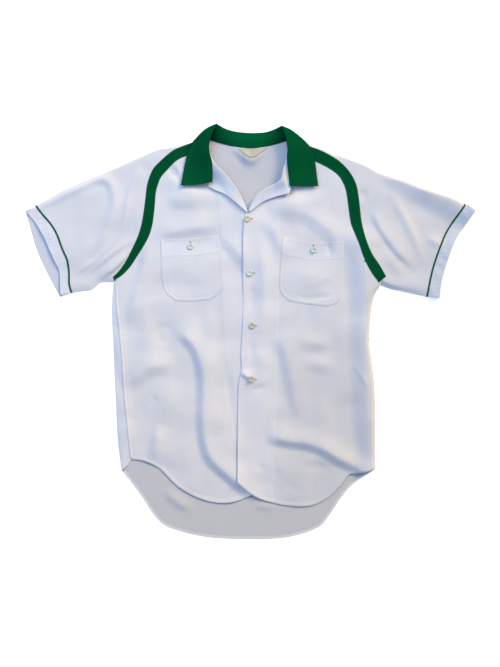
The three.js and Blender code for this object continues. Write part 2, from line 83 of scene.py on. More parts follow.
# ---------------------------------------------------------------- outlines
NECK_SEAM = [(-79, 385), (-62, 379), (-42, 374), (-19, 369), (15, 369), (50, 376), (73, 383)]
COLLAR_FOLD = [(-66, 414), (-48, 405), (-30, 400), (0, 397), (30, 398.5), (46, 403), (62, 410)]
RIGHT_FOLD = [
    (-272, 101), (-275, 65), (-275, 25), (-273, -15), (-271.5, -55), (-267.5, -135), (-263.5, -215),
    (-256, -276),
]
RIGHT_SEAM = [(-268, 103), (-266, 58), (-260, 4), (-255, -50), (-251, -115), (-246, -166), (-237, -254)]
LEFT_SEAM = [(224, 142), (229, 85), (232, 40), (237, -5), (238, -14)]
LEFT_FOLD = [
    (258, 91), (250, 78), (243.5, 56), (242, 47), (239.5, 22), (237, -11), (242, -53), (248, -107),
    (250, -161), (250, -271),
]
BACK_HEM = [
    (-254, -278), (-216, -328), (-190, -367), (-169, -386), (-140, -397), (-99, -407), (-58, -411.5),
    (9, -413), (62, -411), (86, -407), (123, -396), (143, -385), (164, -358), (180, -334), (200, -309),
    (225, -289), (245, -277), (250, -273),
]
RIGHT_HEM = [
    (-237, -254), (-216, -256), (-184, -270), (-143, -309), (-95, -334), (-50, -341), (-9, -331),
    (20, -312),
]
LEFT_HEM = [
    (-25, -301), (0, -322), (21, -333), (47, -341), (72, -346), (102, -348), (127, -345), (147, -336),
    (164, -324), (180, -307), (190, -293), (198, -284), (211, -282), (231, -278), (250, -271),
]
LEFT_FRONT_EDGE = [
    (-9, 238), (-13, 205), (-13.5, 120), (-14.5, 17), (-18, -45), (-17, -76), (-22, -98), (-24, -130),
    (-24.5, -232), (-25, -301),
]
RIGHT_FRONT_EDGE = [(18, 236), (19, 0), (20, -312)]

# What is sewn on each side. Bands and tops run from the neck out. A pull in a lapel has its path, the
# heights along it and its width. A cuff tilts up towards its open end.
RIGHT = {
    "out": -1,
    "band_outer": [
        (-92, 388), (-115, 380), (-137, 371.5), (-153, 364.5), (-167, 354), (-180, 342), (-192, 329.5),
        (-200, 313.5), (-206, 293), (-209, 268), (-212, 244), (-216.5, 217), (-224.5, 191), (-237, 164),
        (-251, 138), (-265, 119.5), (-274, 111),
    ],
    "band_inner": [
        (-88, 362), (-110, 357.5), (-127, 352.5), (-141, 347), (-155, 336), (-167.5, 322.5),
        (-177.5, 311), (-183.5, 297), (-188, 281), (-190, 256), (-192, 236), (-195, 215), (-200, 197),
        (-210, 176.5), (-224.5, 154), (-239, 132), (-255, 115), (-271, 104.5),
    ],
    "top": [
        (-96, 385), (-115, 379), (-137, 374), (-152, 370), (-184, 365), (-220, 350), (-276, 325),
        (-324, 305), (-370, 285), (-402, 267), (-427, 254),
    ],
    "underarm": [
        (-356, 80), (-339, 83), (-317, 86), (-309, 92), (-299, 100), (-285, 101.5), (-272, 101),
    ],
    "piping": [
        (-427, 254), (-414, 237), (-397, 217), (-385, 197), (-375, 170), (-364, 144), (-361, 121),
        (-360, 97), (-356, 80),
    ],
    "cuff_back": [(-449, 243), (-438, 205), (-426, 165), (-404, 117), (-380, 72)],
    "cuff_front": [
        (-447, 240), (-430, 220), (-414, 194), (-400, 163), (-390, 141), (-382, 124), (-380, 96),
        (-379, 74),
    ],
    "roll": [(-83, 380), (-83, 371), (-81, 359), (-72, 339), (-44, 309), (-20, 275), (-5, 241)],
    "crest_heights": (5, 9, 15, 16, 16),
    "lapel_hidden": [(-80, 370), (-98, 340), (-98, 300)],
    "lapel_pulls": [([(-66, 322), (-38, 276), (-14, 248)], (0, 1.0, 0.4), 6)],
    "cuff_tilt": 0.0,
    "cuff_plies_and_painted_shade": 0.75,
    "lapel_edge": [(-73, 285), (-50, 275), (-6, 239)],
    "facing": [(-62, 238), (-57, 130), (-55, 41), (-44, -97), (-34, -213), (-26, -221)],
    "leaf_over": [(-66, 414), (-90, 403), (-114, 380)],
    "leaf_outer": [(-114, 380), (-126, 353), (-138, 293)],
    "leaf_end": [(-138, 293), (-106, 294), (-76, 299)],
    "crest": [(-76, 299), (-76, 335), (-82, 366), (-78, 389), (-66, 414)],
}
LEFT_CUFF_END = [(448.5, 243), (430, 215), (411, 187), (394, 143), (382, 100), (378, 69)]
LEFT = {
    "out": 1,
    "band_outer": [
        (96, 381), (119, 372), (140, 364.5), (161, 354), (180, 341.5), (195, 326.5), (205, 312),
        (212.5, 295), (217, 272), (220, 246.5), (223, 221.5), (228.5, 196), (235, 175), (245, 154),
        (258, 135), (271.5, 112),
    ],
    "band_inner": [
        (90, 354), (110, 349), (128.5, 342.5), (146.5, 334), (163, 324.5), (178, 312), (186, 299),
        (191.5, 284.5), (195, 263.5), (198, 240.5), (202, 217), (209.5, 196), (217, 177), (224, 156),
        (231, 139), (243, 118), (257, 99.5),
    ],
    "top": [
        (92, 385), (120, 374), (142, 367), (164, 357), (200, 345), (232, 332), (258, 318), (302, 306),
        (346, 289), (404, 270), (429, 257),
    ],
    "underarm": [(353, 72), (330, 77), (304, 83), (280, 88), (262, 95)],
    "piping": [(429, 257), (391, 199), (370, 146), (360, 109), (353, 72)],
    "cuff_back": LEFT_CUFF_END,
    "cuff_front": LEFT_CUFF_END,
    "roll": [(76, 379), (75, 365), (74, 349), (68, 329), (60, 303), (32, 287), (12, 271), (-3, 243)],
    "crest_heights": (5, 9, 15, 17, 17, 16),
    "lapel_hidden": [(84, 370), (98, 340), (98, 302), (83, 294)],
    "lapel_pulls": [
        ([(84, 345), (80, 315), (80, 296), (80, 276)], (1, 10, 10, 5), 27),
        ([(58, 308), (48, 292), (34, 280)], (-1.0, -2.2, -0.8), 9),
    ],
    "cuff_tilt": 0.25,
    # painted shade: this cuff is given a darker tone than the right one, where it slopes away from the
    # light
    "cuff_plies_and_painted_shade": 0.45,
    "lapel_edge": [(79, 277), (50, 270), (24, 259), (0, 240)],
    "facing": [(58, 222), (56, 81), (54, -47), (49, -222)],
    "leaf_over": [(62, 410), (82, 402), (103, 387), (118, 373)],
    "leaf_outer": [(118, 373), (127, 354), (136, 292)],
    "leaf_end": [(136, 292), (108, 291), (80, 291)],
    "crest": [(80, 291), (77, 315), (74, 345), (75, 365), (71, 388), (62, 410)],
}
SIDES = {"right": RIGHT, "left": LEFT}
# The heights along each roll and its width.
RIGHT["roll_ridge"] = (RIGHT["roll"], (14, 13, 11, 8, 4.5, 2.5), 20)
LEFT["roll_ridge"] = (LEFT["roll"], (13, 12, 9, 6, 5, 3), 14)

COLLAR_FALL = [(-114, 380), (-122, 358), (-80, 350), (0, 346), (80, 350), (124, 356), (118, 373)]
COLLAR_LOOP = [(80.6, 279.5), (84, 277.6), (88, 279), (89, 283), (86.5, 286.4), (81.4, 287)]
TAIL_TOP = -240
TAIL_HEM = 0.15
LEFT_STRIP_END = -15  # below this height the left side seam lies on the fold itself
LEFT_STRIP_TOP = 142
LEFT_FRONT_CORNER = 144
# The pocket's mouth, then its other corners, down the side and round the bottom.
POCKETS = {
    "right": {
        "top": [(-179, 184), (-150, 186), (-115, 187), (-82, 191), (-63, 195)],
        "rest": [
            (-57, 164), (-54, 123), (-53, 90), (-57, 83), (-76, 67), (-85, 64.5), (-115, 62), (-145, 62.5),
            (-152, 65), (-168, 79), (-173, 88), (-177, 113), (-178, 154),
        ],
    },
    "left": {
        "top": [(65, 190), (85, 185), (109, 180), (127, 177), (158, 179), (187, 182)],
        "rest": [
            (187, 158), (185, 102), (182, 72), (179, 66), (172, 58), (166, 56), (155, 52), (109, 57),
            (80, 62), (73, 66), (61, 80), (58, 88), (59, 113), (62, 150),
        ],
    },
}
LABEL = [(-24, 367), (36, 369), (18, 357), (9, 351), (3, 349.5), (-3, 351), (-13, 358)]

Button = namedtuple("Button", "node x y cloth tint")
BUTTONS = [
    Button("button_1", -5, 227, "front_left", "cream"),
    Button("button_2", -1, 119, "front_left", "pearl"),
    Button("button_3", 4, 14, "front_left", "olive"),
    Button("button_4", 3, -93, "front_left", "olive"),
    Button("pocket_button_right", -119, 172, "pocket_right", "mint"),
    Button("pocket_button_left", 127, 165, "pocket_left", "mint"),
]

# ---------------------------------------------------------------- creases
# A step rises across its path, to the left of the path's own direction, and falls away gently behind.
BACK_CREASES = ("back tail", "back tail middle", "under the label")
Step = namedtuple("Step", "name height steep gentle path")
STEPS = [
    Step("right front long", 7.6, 11, 27, [
        (-152, 4), (-138, -10), (-119, -30), (-107, -58), (-101, -90), (-101, -184), (-97, -220),
        (-86, -252),
        (-66, -275), (-40, -297), (-12, -320), (24, -350)]),
    Step("right waist", 5.5, 14, 34, [(-244, -122), (-224, -100), (-198, -80), (-172, -76), (-138, -78)]),
    Step("right hem", 5.5, 9, 22, [(-184, -180), (-193, -215), (-207, -256)]),
    Step("right armpit", 3.4, 10, 24, [(-208, 186), (-218, 140), (-230, 96), (-240, 50), (-246, 0)]),
    Step("right shoulder", 4.5, 13, 28, [(-182, 262), (-137, 254), (-82, 250)]),
    Step("over right pocket", 5.2, 11, 30, [(-192, 186), (-137, 195), (-96, 203), (-54, 200)]),
    Step("beside right pocket", 4.5, 12, 26, [(-64, 196), (-40, 164), (-18, 136), (-8, 112)]),
    Step("left chest", 5.2, 16, 28, [(30, 232), (72, 232), (108, 226), (136, 208), (158, 184), (163, 146)]),
    Step("left placket", 4.6, 13, 26, [(12, 222), (34, 204), (52, 172), (60, 130)]),
    Step("left belly", 4.4, 12, 30, [(40, -8), (58, -30), (69, -76), (78, -118), (86, -158), (92, -190)]),
    Step("left waist upper", 3.6, 14, 20, [(86, -22), (120, -30), (172, -36)]),
    Step("left waist lower", 3.4, 14, 20, [(96, -66), (130, -72), (176, -76)]),
    Step("left hem", 7.6, 11, 24, [
        (24, -216), (48, -219), (80, -225), (111, -229), (143, -240), (170, -256), (193, -268),
        (222, -284), (262, -310)]),
    Step("left side", 9.0, 23, 60, [
        (198, 214), (208, 130), (214, 60), (214, 4), (216, -67), (221, -157), (225, -240), (231, -320)]),
    Step("left side small", 1.2, 3, 8, [(202, -62), (222, -92), (240, -125)]),
    Step("below button four", 4.6, 4, 10, [(-22, -78), (-12, -88), (6, -96)]),
    Step("right sleeve top", 3.8, 9, 15, [
        (-432, 242), (-400, 257), (-368, 271), (-335, 287), (-304, 301), (-285, 294), (-278, 268),
        (-283, 238),
        (-300, 196), (-326, 150)]),
    Step("right sleeve low", 1.6, 5, 12, [(-350, 112), (-330, 126), (-308, 143)]),
    Step("right underarm", 6.5, 3, 11, [(-306, 100), (-288, 112), (-268, 127), (-248, 148), (-230, 172)]),
    Step("right underarm long", 2.2, 4, 10, [(-330, 112), (-292, 140), (-255, 172), (-222, 206)]),
    Step("left sleeve long", 4.4, 6, 20, [(238, 250), (253, 211), (270, 185), (294, 154), (336, 118)]),
    Step("left sleeve top", 11.0, 25, 90, [
        (254, 326), (300, 298), (345, 270), (395, 242), (440, 216), (500, 180), (560, 144)]),
    Step("left sleeve cuff", 3.2, 9, 12, [(346, 190), (362, 178), (384, 164)]),
    Step("back tail", 3.5, 8, 14, [(-182, -316), (-146, -345), (-112, -366)]),
    Step("back tail middle", 1.6, 6, 10, [(0, -350), (28, -354), (58, -355)]),
    Step("under the label", 8.0, 8, 12, [
        (-44, 372), (-24, 356), (-8, 342), (2, 337), (16, 346), (44, 370)]),
]
# A swell is a soft ridge, or a trough where its height is negative.
Swell = namedtuple("Swell", "height width path")
SWELLS = [
    Swell(-1.0, 5, [(84, 76), (120, 68), (162, 73)]),
    Swell(1.0, 7, [(128, 96), (166, 116)]),
    Swell(-3.0, 16, [(-173, 26), (-170, -30)]),
    Swell(2.4, 18, [(-208, 50), (-206, -50)]),
    Swell(1.8, 9, [(-266, 60), (-255, -50), (-246, -160), (-238, -240)]),
    Swell(2.6, 15, [(-80, 60), (-78, -110)]),
    Swell(-4.0, 7, [(-164, 334), (-141, 304)]),
    Swell(-2.6, 6, [(-140, 344), (-128, 322)]),
    Swell(3.0, 16, [(-150, 300), (-110, 276), (-40, 262)]),
    Swell(3.4, 15, [(46, 258), (84, 258), (123, 264), (153, 280), (172, 305)]),
    Swell(3.2, 13, [(24, 176), (30, 90), (26, 10)]),
    Swell(-1.7, 8, [(2, 104), (3, 36)]),
    Swell(-1.6, 8, [(2, 0), (3, -62)]),
    Swell(2.6, 16, [(18, -30), (34, -80)]),
    Swell(-1.8, 6, [(2, -118), (34, -106)]),
    Swell(-0.8, 5, [(-199, -124), (-184, -142)]),
    Swell(-0.5, 4, [(-204, -134), (-192, -150)]),
    Swell(-1.4, 9, [(106, -267), (160, -270)]),
    Swell(-1.0, 8, [(12, -258), (34, -280)]),
    Swell(-0.8, 9, [(44, -296), (66, -272)]),
    Swell(-0.7, 9, [(66, -296), (100, -320)]),
    Swell(-1.6, 5, [(157, 182), (159, 150)]),
    Swell(-1.2, 9, [(110, 70), (168, 74)]),
    Swell(-1.0, 4, [(-214, 150), (-230, 118)]),
    Swell(-1.0, 4, [(-226, 146), (-244, 112)]),
    Swell(-1.8, 9, [(-217, 345), (-205, 314)]),
    Swell(2.4, 5, [
        (-209, 335), (-231, 304), (-244, 266), (-251, 222), (-269, 185), (-306, 147), (-348, 114)]),
    Swell(1.6, 5, [(-206, 196), (-262, 166), (-325, 116)]),
    Swell(-2.2, 8, [(222, 288), (229, 262)]),
    Swell(2.6, 9, [(284, 272), (300, 245), (320, 206), (346, 144)]),
    Swell(2.0, 12, [(262, 170), (292, 130), (318, 106)]),
    Swell(2.2, 16, [(-66, -130), (-56, -240)]),
    Swell(-2.0, 7, [(-44, -70), (-40, -130), (-32, -206)]),
    Swell(1.6, 26, [(130, -110), (150, -190)]),
    Swell(1.4, 18, [(120, 130), (122, 80)]),
    Swell(1.4, 18, [(-116, 140), (-114, 90)]),
    Swell(2.0, 22, [(-160, -100), (-150, -180)]),
]
CREASE_TAPER = (42.0, 60.0)  # a crease fades in and out over these lengths


# ---------------------------------------------------------------- curves
def resample(points, step):
    """Even points along a polyline, with its ends."""
    points = np.asarray(points, float)
    along = np.concatenate([[0], np.cumsum(np.hypot(*np.diff(points, axis=0).T))])
    count = max(1, round(along[-1] / step))
    places = np.linspace(0, along[-1], count + 1)
    return np.stack([np.interp(places, along, points[:, k]) for k in (0, 1)], axis=1)


def spline(points, step=3.0):
    """Even points along a centripetal Catmull-Rom curve through the given ones."""
    points = np.asarray(points, float)
    ends = (2 * points[0] - points[1], 2 * points[-1] - points[-2])
    padded = np.vstack([ends[0], points, ends[1]])
    out = [points[0]]
    for a, b, c, d in zip(padded, padded[1:], padded[2:], padded[3:]):
        t1 = math.dist(a, b) ** 0.5
        t2 = t1 + math.dist(b, c) ** 0.5
        t3 = t2 + math.dist(c, d) ** 0.5
        t = np.linspace(t1, t2, 13)[1:, None]
        ab = a + (b - a) * t / t1
        bc = b + (c - b) * (t - t1) / (t2 - t1)
        cd = c + (d - c) * (t - t2) / (t3 - t2)
        abc = ab + (bc - ab) * t / t2
        bcd = bc + (cd - bc) * (t - t1) / (t3 - t1)
        out.extend(abc + (bcd - abc) * (t - t1) / (t2 - t1))
    return resample(out, step)


def beside(line, distance):
    """The same line moved to the left of its own direction."""
    line = np.asarray(line, float)
    tangent = np.gradient(line, axis=0)
    tangent /= np.maximum(np.hypot(*tangent.T), 1e-6)[:, None]
    return line + np.stack([-tangent[:, 1], tangent[:, 0]], axis=1) * np.reshape(distance, (-1, 1))


def closed(*lines):
    """One anticlockwise outline from lines that follow each other."""
    points = []
    for line in lines:
        for point in line:
            if not points or math.dist(points[-1], point) > 0.3:
                points.append(tuple(point))
    if math.dist(points[0], points[-1]) <= 0.3:
        points.pop()
    outline = np.array(points)
    return outline if area_of(outline) > 0 else outline[::-1]


def area_of(outline):
    x, y = np.asarray(outline, float).T
    return 0.5 * float(np.sum(x * np.roll(y, -1) - y * np.roll(x, -1)))


Near = namedtuple("Near", "distance side along total")


def near(line, points, is_closed=False):
    """For each point: distance to a polyline, signed distance (left is positive), and how far along it."""
    line = np.asarray(line, float)
    if is_closed:
        line = np.vstack([line, line[:1]])
    start, step = line[:-1], np.diff(line, axis=0)
    length = np.maximum(np.hypot(*step.T), 1e-6)
    before = np.concatenate([[0], np.cumsum(length)])
    distance, signed, along = [], [], []
    for part in np.array_split(points, max(1, len(points) // 3000)):
        offset = part[:, None] - start
        t = np.clip((offset * step).sum(2) / length**2, 0, 1)
        gap = offset - t[..., None] * step
        d = np.hypot(gap[..., 0], gap[..., 1])
        best = d.argmin(1)
        rows = np.arange(len(part))
        cross = step[best, 0] * offset[rows, best, 1] - step[best, 1] * offset[rows, best, 0]
        distance.append(d[rows, best])
        signed.append(np.where(cross >= 0, 1, -1) * d[rows, best])
        along.append(before[best] + t[rows, best] * length[best])
    return Near(np.concatenate(distance), np.concatenate(signed), np.concatenate(along), before[-1])


def contains(outline, points):
    """Whether each point is inside a closed outline."""
    x, y = points.T
    inside = np.zeros(len(points), bool)
    for (ax, ay), (bx, by) in zip(outline, np.roll(outline, -1, axis=0)):
        if ay != by:
            crosses = ((ay > y) != (by > y)) & (x < (bx - ax) * (y - ay) / (by - ay) + ax)
            inside ^= crosses
    return inside


def ramp(value, zero, one):
    t = np.clip((value - zero) / (one - zero), 0, 1)
    return t * t * (3 - 2 * t)


def bell(value, width):
    return np.exp(-((value / width) ** 2))


# ---------------------------------------------------------------- heights
Rim = namedtuple("Rim", "line cushion sharpness")
RIMS = [
    Rim(spline(RIGHT_FOLD, 6), 0.7, 1.0),
    Rim(spline(LEFT_FOLD, 6), 1.6, 1.8),
    Rim(spline(RIGHT["top"], 6), 0.4, 1.0),
    Rim(spline(LEFT["top"], 6), 0.4, 2.4),
    Rim(spline(RIGHT["underarm"], 6), 1.6, 1.0),
    Rim(spline(LEFT["underarm"], 6), 1.6, 1.0),
]
HEM_LINES = [spline(line, 10) for line in (RIGHT_HEM, LEFT_HEM)]
CREASE_LINES = [(step, spline(step.path, 8)) for step in STEPS]
SWELL_LINES = [(swell, spline(swell.path, 8)) for swell in SWELLS]
PLACKET_LINE = spline(LEFT_FRONT_EDGE, 8)
FACING_LINES = {name: spline(side["facing"], 8) for name, side in SIDES.items()}

CUSHION = 2.0  # how far the air between front and back lifts the front, away from its edges
CUSHION_LEAST = 0.3
CUSHION_REACH = (20, 110)  # it grows to the rim's own height, then to the full one
CUSHION_AT_HEM = (4, 80)
EDGE_RISE = 0.9  # a folded edge rounds up this far, over about the next distance
EDGE_ROUNDNESS = 2.8
CREASE_REACH = 9  # creases have their full height this far from an edge
SWELL_ENDS = 0.25  # the share of a swell's height that is left at its ends
# How many to the millimetre, their direction in radians and their height.
WAVES = [(0.009, 0.9, 0.8), (0.014, 2.3, 0.5), (0.022, -0.5, 0.16)]

# How far the placket's free edge stands off, and between which heights on the garment that grows.
PLACKET_LIFTS = {"chest": (2.6, 60, 130), "waist": (0.9, 60, -20), "tail": (1.4, -150, -230)}
CHEST_LIFT_END = (236, 222)
PLACKET_REACH = 10
LAP_END = (18, 44)
FACING_STEP = 0.4
FACING_EDGE = 0.8

LEAF_WIDTH = 26.0
LEAF_END_LIFT = 3.5
LEAF_END_REACH = 26
STAND_HEIGHT = 8.0
STAND_BULGE = 1.5
STAND_END_RISE = 7.5
STAND_MIDDLE = -2
STAND_PLEATS = [(0.7, -22, 5), (0.9, 30, 7)]  # depth, place along X and width


def window(place):
    """1 along the middle of a line and 0 at its ends."""
    start, end = (min(taper, 0.45 * place.total) for taper in CREASE_TAPER)
    return ramp(place.along, 0, start) * ramp(place.total - place.along, 0, end)


def step_height(points, on_back):
    total = np.zeros(len(points))
    for step, line in CREASE_LINES:
        if (step.name in BACK_CREASES) == on_back:
            place = near(line, points)
            rise = ramp(place.side, -step.steep, step.steep)
            behind = bell(np.maximum(place.side - step.steep * 0.5, 0), step.gentle)
            total += step.height * rise * behind * window(place)
    return total


def swell_height(points):
    total = np.zeros(len(points))
    for swell, line in SWELL_LINES:
        place = near(line, points)
        share = SWELL_ENDS + (1 - SWELL_ENDS) * window(place)
        total += swell.height * bell(place.distance, swell.width) * share
    return total


def unevenness(points):
    """The slight waviness of cloth that was smoothed out by hand."""
    x, y = points.T
    total = np.zeros(len(points))
    for k, (pitch, angle, height) in enumerate(WAVES):
        u = x * math.cos(angle) + y * math.sin(angle)
        v = y * math.cos(angle) - x * math.sin(angle)
        turn = 2 * math.pi * pitch
        total += height * np.sin(turn * u + 1.7 * k + 1.3 * np.sin(turn * 0.6 * v))
    return total


def lying(points):
    """How far the back is lifted off the surface by the collar's fall under it."""
    x, y = points.T
    return COLLAR_BED * ramp(y, 305, 340) * ramp(np.abs(x), 175, 140)


def back_top(points):
    """Inner face of the back."""
    return BACK_TOP + lying(points) + step_height(points, True)


def back_under(points):
    return back_top(points) - CLOTH


def under(points):
    """Outer face of the plies that lie on the surface."""
    return BACK_TOP - CLOTH + lying(points)


def ground(points):
    """The underside of the collar's fall, just clear of the surface."""
    return np.full(len(points), 0.15)


def ridge(points, path, heights, width):
    """A soft ridge along a path, whose height changes evenly between the given ones."""
    place = near(spline(path, 6), points)
    crest = np.interp(place.along / place.total, np.linspace(0, 1, len(heights)), heights)
    return crest * bell(place.distance, width)


def roll_height(points):
    """The neck edges of the fronts, where they roll over into the lapels."""
    return np.max([ridge(points, *side["roll_ridge"]) for side in SIDES.values()], axis=0)


def front_base(points):
    """Outer face of the fronts and of the sleeves' front plies, without the rolls at the neck."""
    distances = [near(rim.line, points).distance for rim in RIMS]
    hem = np.min([near(line, points).distance for line in HEM_LINES], axis=0)
    start, full = CUSHION_REACH
    cushions = [
        rim.cushion * ramp(distance, 0, start) + (CUSHION - rim.cushion) * ramp(distance, start, full)
        for rim, distance in zip(RIMS, distances)
    ]
    cushion = np.min(cushions, axis=0) * ramp(hem, *CUSHION_AT_HEM) + CUSHION_LEAST
    rounding = EDGE_RISE * (1 - np.exp(-np.min(distances, axis=0) / EDGE_ROUNDNESS))
    reach = np.min([rim.sharpness * distance for rim, distance in zip(RIMS, distances)], axis=0)
    creases = step_height(points, False) + swell_height(points) + unevenness(points)
    bed = BACK_TOP + lying(points) + CLOTH + GAP
    return bed + rounding + cushion + ramp(reach, 0, CREASE_REACH) * np.maximum(creases, -cushion)


def front_top(points):
    return front_base(points) + roll_height(points)


def left_lap(points):
    """The left front laps over the right one along the placket, its free edge a little raised."""
    x, y = points.T
    lap = (CLOTH + GAP) * (1 - ramp(x, *LAP_END))
    chest, waist, tail = (lift * ramp(y, start, full) for lift, start, full in PLACKET_LIFTS.values())
    lifted = chest * ramp(y, *CHEST_LIFT_END) + waist + tail
    return lap + lifted * np.exp(-near(PLACKET_LINE, points).distance / PLACKET_REACH)


def over_facing(points, name, soft):
    """1 where a front lies over its own facing, 0 beyond it."""
    side = near(FACING_LINES[name], points).side
    return ramp(side if name == "right" else -side, -soft, soft)


def left_front_top(points):
    return front_top(points) + left_lap(points) + FACING_STEP * over_facing(points, "left", FACING_EDGE)


def right_front_top(points):
    return front_top(points) + FACING_STEP * over_facing(points, "right", FACING_EDGE)


FRONT_TOPS = {"right": right_front_top, "left": left_front_top}


def leaf_top(points):
    """The collar's leaves fall from the crest round the neck to the fronts."""
    sides = SIDES.values()
    crests = [ridge(points, side["crest"], side["crest_heights"], LEAF_WIDTH) for side in sides]
    ends = [near(spline(side["leaf_end"], 5), points).distance for side in sides]
    lifted = sum(LEAF_END_LIFT * bell(end, LEAF_END_REACH) for end in ends)
    bed = front_base(points) + left_lap(points) + 2 * (CLOTH + GAP) + COLLAR_CLOTH
    return bed + np.max(crests, axis=0) + lifted


def stand_top(points):
    """The collar's stand rises from the neck seam to the fold behind the neck."""
    x = points[:, 0]
    seam = near(spline(NECK_SEAM, 4), points).distance
    fold = near(spline(COLLAR_FOLD, 4), points).distance
    share = seam / np.maximum(seam + fold, 1e-6)
    low = BACK_TOP + COLLAR_BED + COLLAR_CLOTH
    bulge = STAND_BULGE * np.sin(math.pi * share)
    ends = ramp(np.abs(x - STAND_MIDDLE), 44, 72)
    pleats = sum(depth * bell(x - place, width) for depth, place, width in STAND_PLEATS)
    return low + STAND_HEIGHT * share**0.9 + bulge + STAND_END_RISE * ends * share - pleats * share


# ---------------------------------------------------------------- meshes
RIM_INSET = 0.7  # a second ring of vertices follows each outline this far inside it
RIM_CLEARANCE = 0.55  # other vertex lines keep at least this far from the outline
WELD = 0.02


def scatter(outline, spacing, lines):
    """The outline, extra lines inside it and a staggered grid between them."""
    kept = []
    ring = beside(np.vstack([outline[-1:], outline, outline[:1]]), RIM_INSET)[1:-1]
    for line in [ring, *lines]:
        line = np.asarray(line, float)
        clear = contains(outline, line) & (near(outline, line, True).distance > RIM_CLEARANCE)
        kept.append(line[clear])
    fixed = np.vstack([outline, *kept])
    low, high = outline.min(0), outline.max(0)
    rows = np.arange(low[1], high[1], spacing * 0.87)
    columns = np.arange(low[0], high[0], spacing)
    grid = np.array([(x + (i % 2) * spacing / 2, y) for i, y in enumerate(rows) for x in columns])
    cell = spacing * 0.75
    taken = set()
    for i, j in np.floor(fixed / cell).astype(int):
        taken.add((i, j))
    free = np.array([(i, j) not in taken for i, j in np.floor(grid / cell).astype(int)])
    grid = grid[free]
    grid = grid[contains(outline, grid)]
    grid = grid[near(outline, grid, True).distance > spacing * 0.45]
    return np.vstack([fixed, grid]), len(outline)


def triangulate(outline, spacing, lines=()):
    """Points and anticlockwise triangles that fill an outline."""
    points, rim = scatter(outline, spacing, lines)
    edges = [(i, (i + 1) % rim) for i in range(rim)]
    result = delaunay_2d_cdt([Vector(p) for p in points], edges, [], 1, 1e-5)
    return np.array([tuple(v) for v in result[0]]), [tuple(f) for f in result[2]]


def turns(count):
    """Even angles round a circle."""
    return [2 * math.pi * i / count for i in range(count)]


def grid(rows, count, around=False, flip=False, loop=False):
    """Faces between rows of vertices. Around closes each row on itself, loop the last row on the first."""
    faces = []
    for r in range(rows if loop else rows - 1):
        for i in range(count if around else count - 1):
            a, b = r * count + i, r * count + (i + 1) % count
            c, d = ((k + count) % (rows * count) for k in (a, b))
            faces.append((a, b, d, c) if flip else (a, c, d, b))
    return faces


class Surface:
    """Vertices and faces, in millimetres, gathered from several patches and welded where they touch."""

    def __init__(self):
        self.vertices = []
        self.faces = []
        self.plies_and_painted_light = []

    def add(self, vertices, faces, plies_and_painted_light=0.5):
        start = len(self.vertices)
        self.vertices.extend(tuple(v) for v in vertices)
        self.faces.extend(tuple(start + i for i in face) for face in faces)
        self.plies_and_painted_light.extend(np.broadcast_to(plies_and_painted_light, len(vertices)).tolist())

    def patch(self, outline, height, spacing, lines=(), plies_and_painted_light=0.5, underside=False):
        """A sheet over an outline. The underside of a tube faces down."""
        points, faces = triangulate(outline, spacing, lines)
        shade = plies_and_painted_light(points) if callable(plies_and_painted_light) else plies_and_painted_light
        if underside:
            faces = [face[::-1] for face in faces]
        self.add(np.column_stack([points, height(points)]), faces, shade)

    def wall(self, line, high, low, bulge, steps=4, plies_and_painted_light=0.5):
        """A rounded fold along a line, from one sheet down to another. It bulges and faces to the right of
        the line, or to the left where the bulge is negative."""
        line = np.asarray(line, float)
        side = -beside(line, 1) + line
        top, bottom = high(line), low(line)
        rows = []
        for t in np.arange(steps + 1) / steps:
            out = line + side * (bulge * math.sin(math.pi * t))
            z = top + (bottom - top) * (1 - math.cos(math.pi * t)) / 2
            rows.append(np.column_stack([out, z]))
        faces = grid(steps + 1, len(line))
        if bulge < 0:
            faces = [face[::-1] for face in faces]
        self.add(np.vstack(rows), faces, plies_and_painted_light)

    def rod(self, rings, flip=False, loop=False):
        """A solid from rings of points along it, with both ends capped unless it is a loop."""
        rows, count = len(rings), len(rings[0])
        faces = grid(rows, count, True, flip, loop)
        if not loop:
            first, last = tuple(range(count)), tuple(range((rows - 1) * count, rows * count))
            faces += [first[::-1], last] if flip else [first, last[::-1]]
        self.add(np.vstack(rings), faces)

    def build(self, name, material, thickness):
        mesh = bpy.data.meshes.new(name)
        mesh.from_pydata([tuple(c * MM for c in v) for v in self.vertices], [], self.faces)
        # the cloth's tone by its number of plies, with painted light and shade on some pieces
        shade = mesh.attributes.new("plies_and_painted_light", "FLOAT", "POINT")
        shade.data.foreach_set("value", self.plies_and_painted_light)
        mesh.materials.append(material)
        piece = bpy.data.objects.new(name, mesh)
        bpy.context.collection.objects.link(piece)
        weld(mesh)
        mesh.polygons.foreach_set("use_smooth", [True] * len(mesh.polygons))
        if thickness:
            solid = piece.modifiers.new("thickness", "SOLIDIFY")
            solid.thickness = thickness * MM
            solid.offset = -1.0
            solid.use_quality_normals = True
        return piece


def weld(mesh):
    bm = bmesh.new()
    bm.from_mesh(mesh)
    bmesh.ops.remove_doubles(bm, verts=bm.verts, dist=WELD * MM)
    bm.to_mesh(mesh)
    bm.free()


# ---------------------------------------------------------------- materials
SLUB_SIZE = 3.0
SLUB_STRETCH = 0.06
MOTTLE_SIZE = 38.0
WARP_TONES = (0.97, 1.03)
WEFT_TONES = (0.975, 1.025)
MOTTLE_TONES = (0.985, 1.015)
# painted shade: the gaps between threads are painted darker
THREAD_GAP_SHADE = 0.72  # the tone between two threads, as a share of the cloth's own
THREAD_CONTRAST = 0.16
WARP_ANGLE = math.radians(38)  # of a twill
WEFT_ANGLE = math.radians(-52)


def material(name):
    made = bpy.data.materials.new(name)
    made.use_nodes = True
    tree = made.node_tree
    shader = next(node for node in tree.nodes if node.type == "BSDF_PRINCIPLED")
    return made, tree, shader


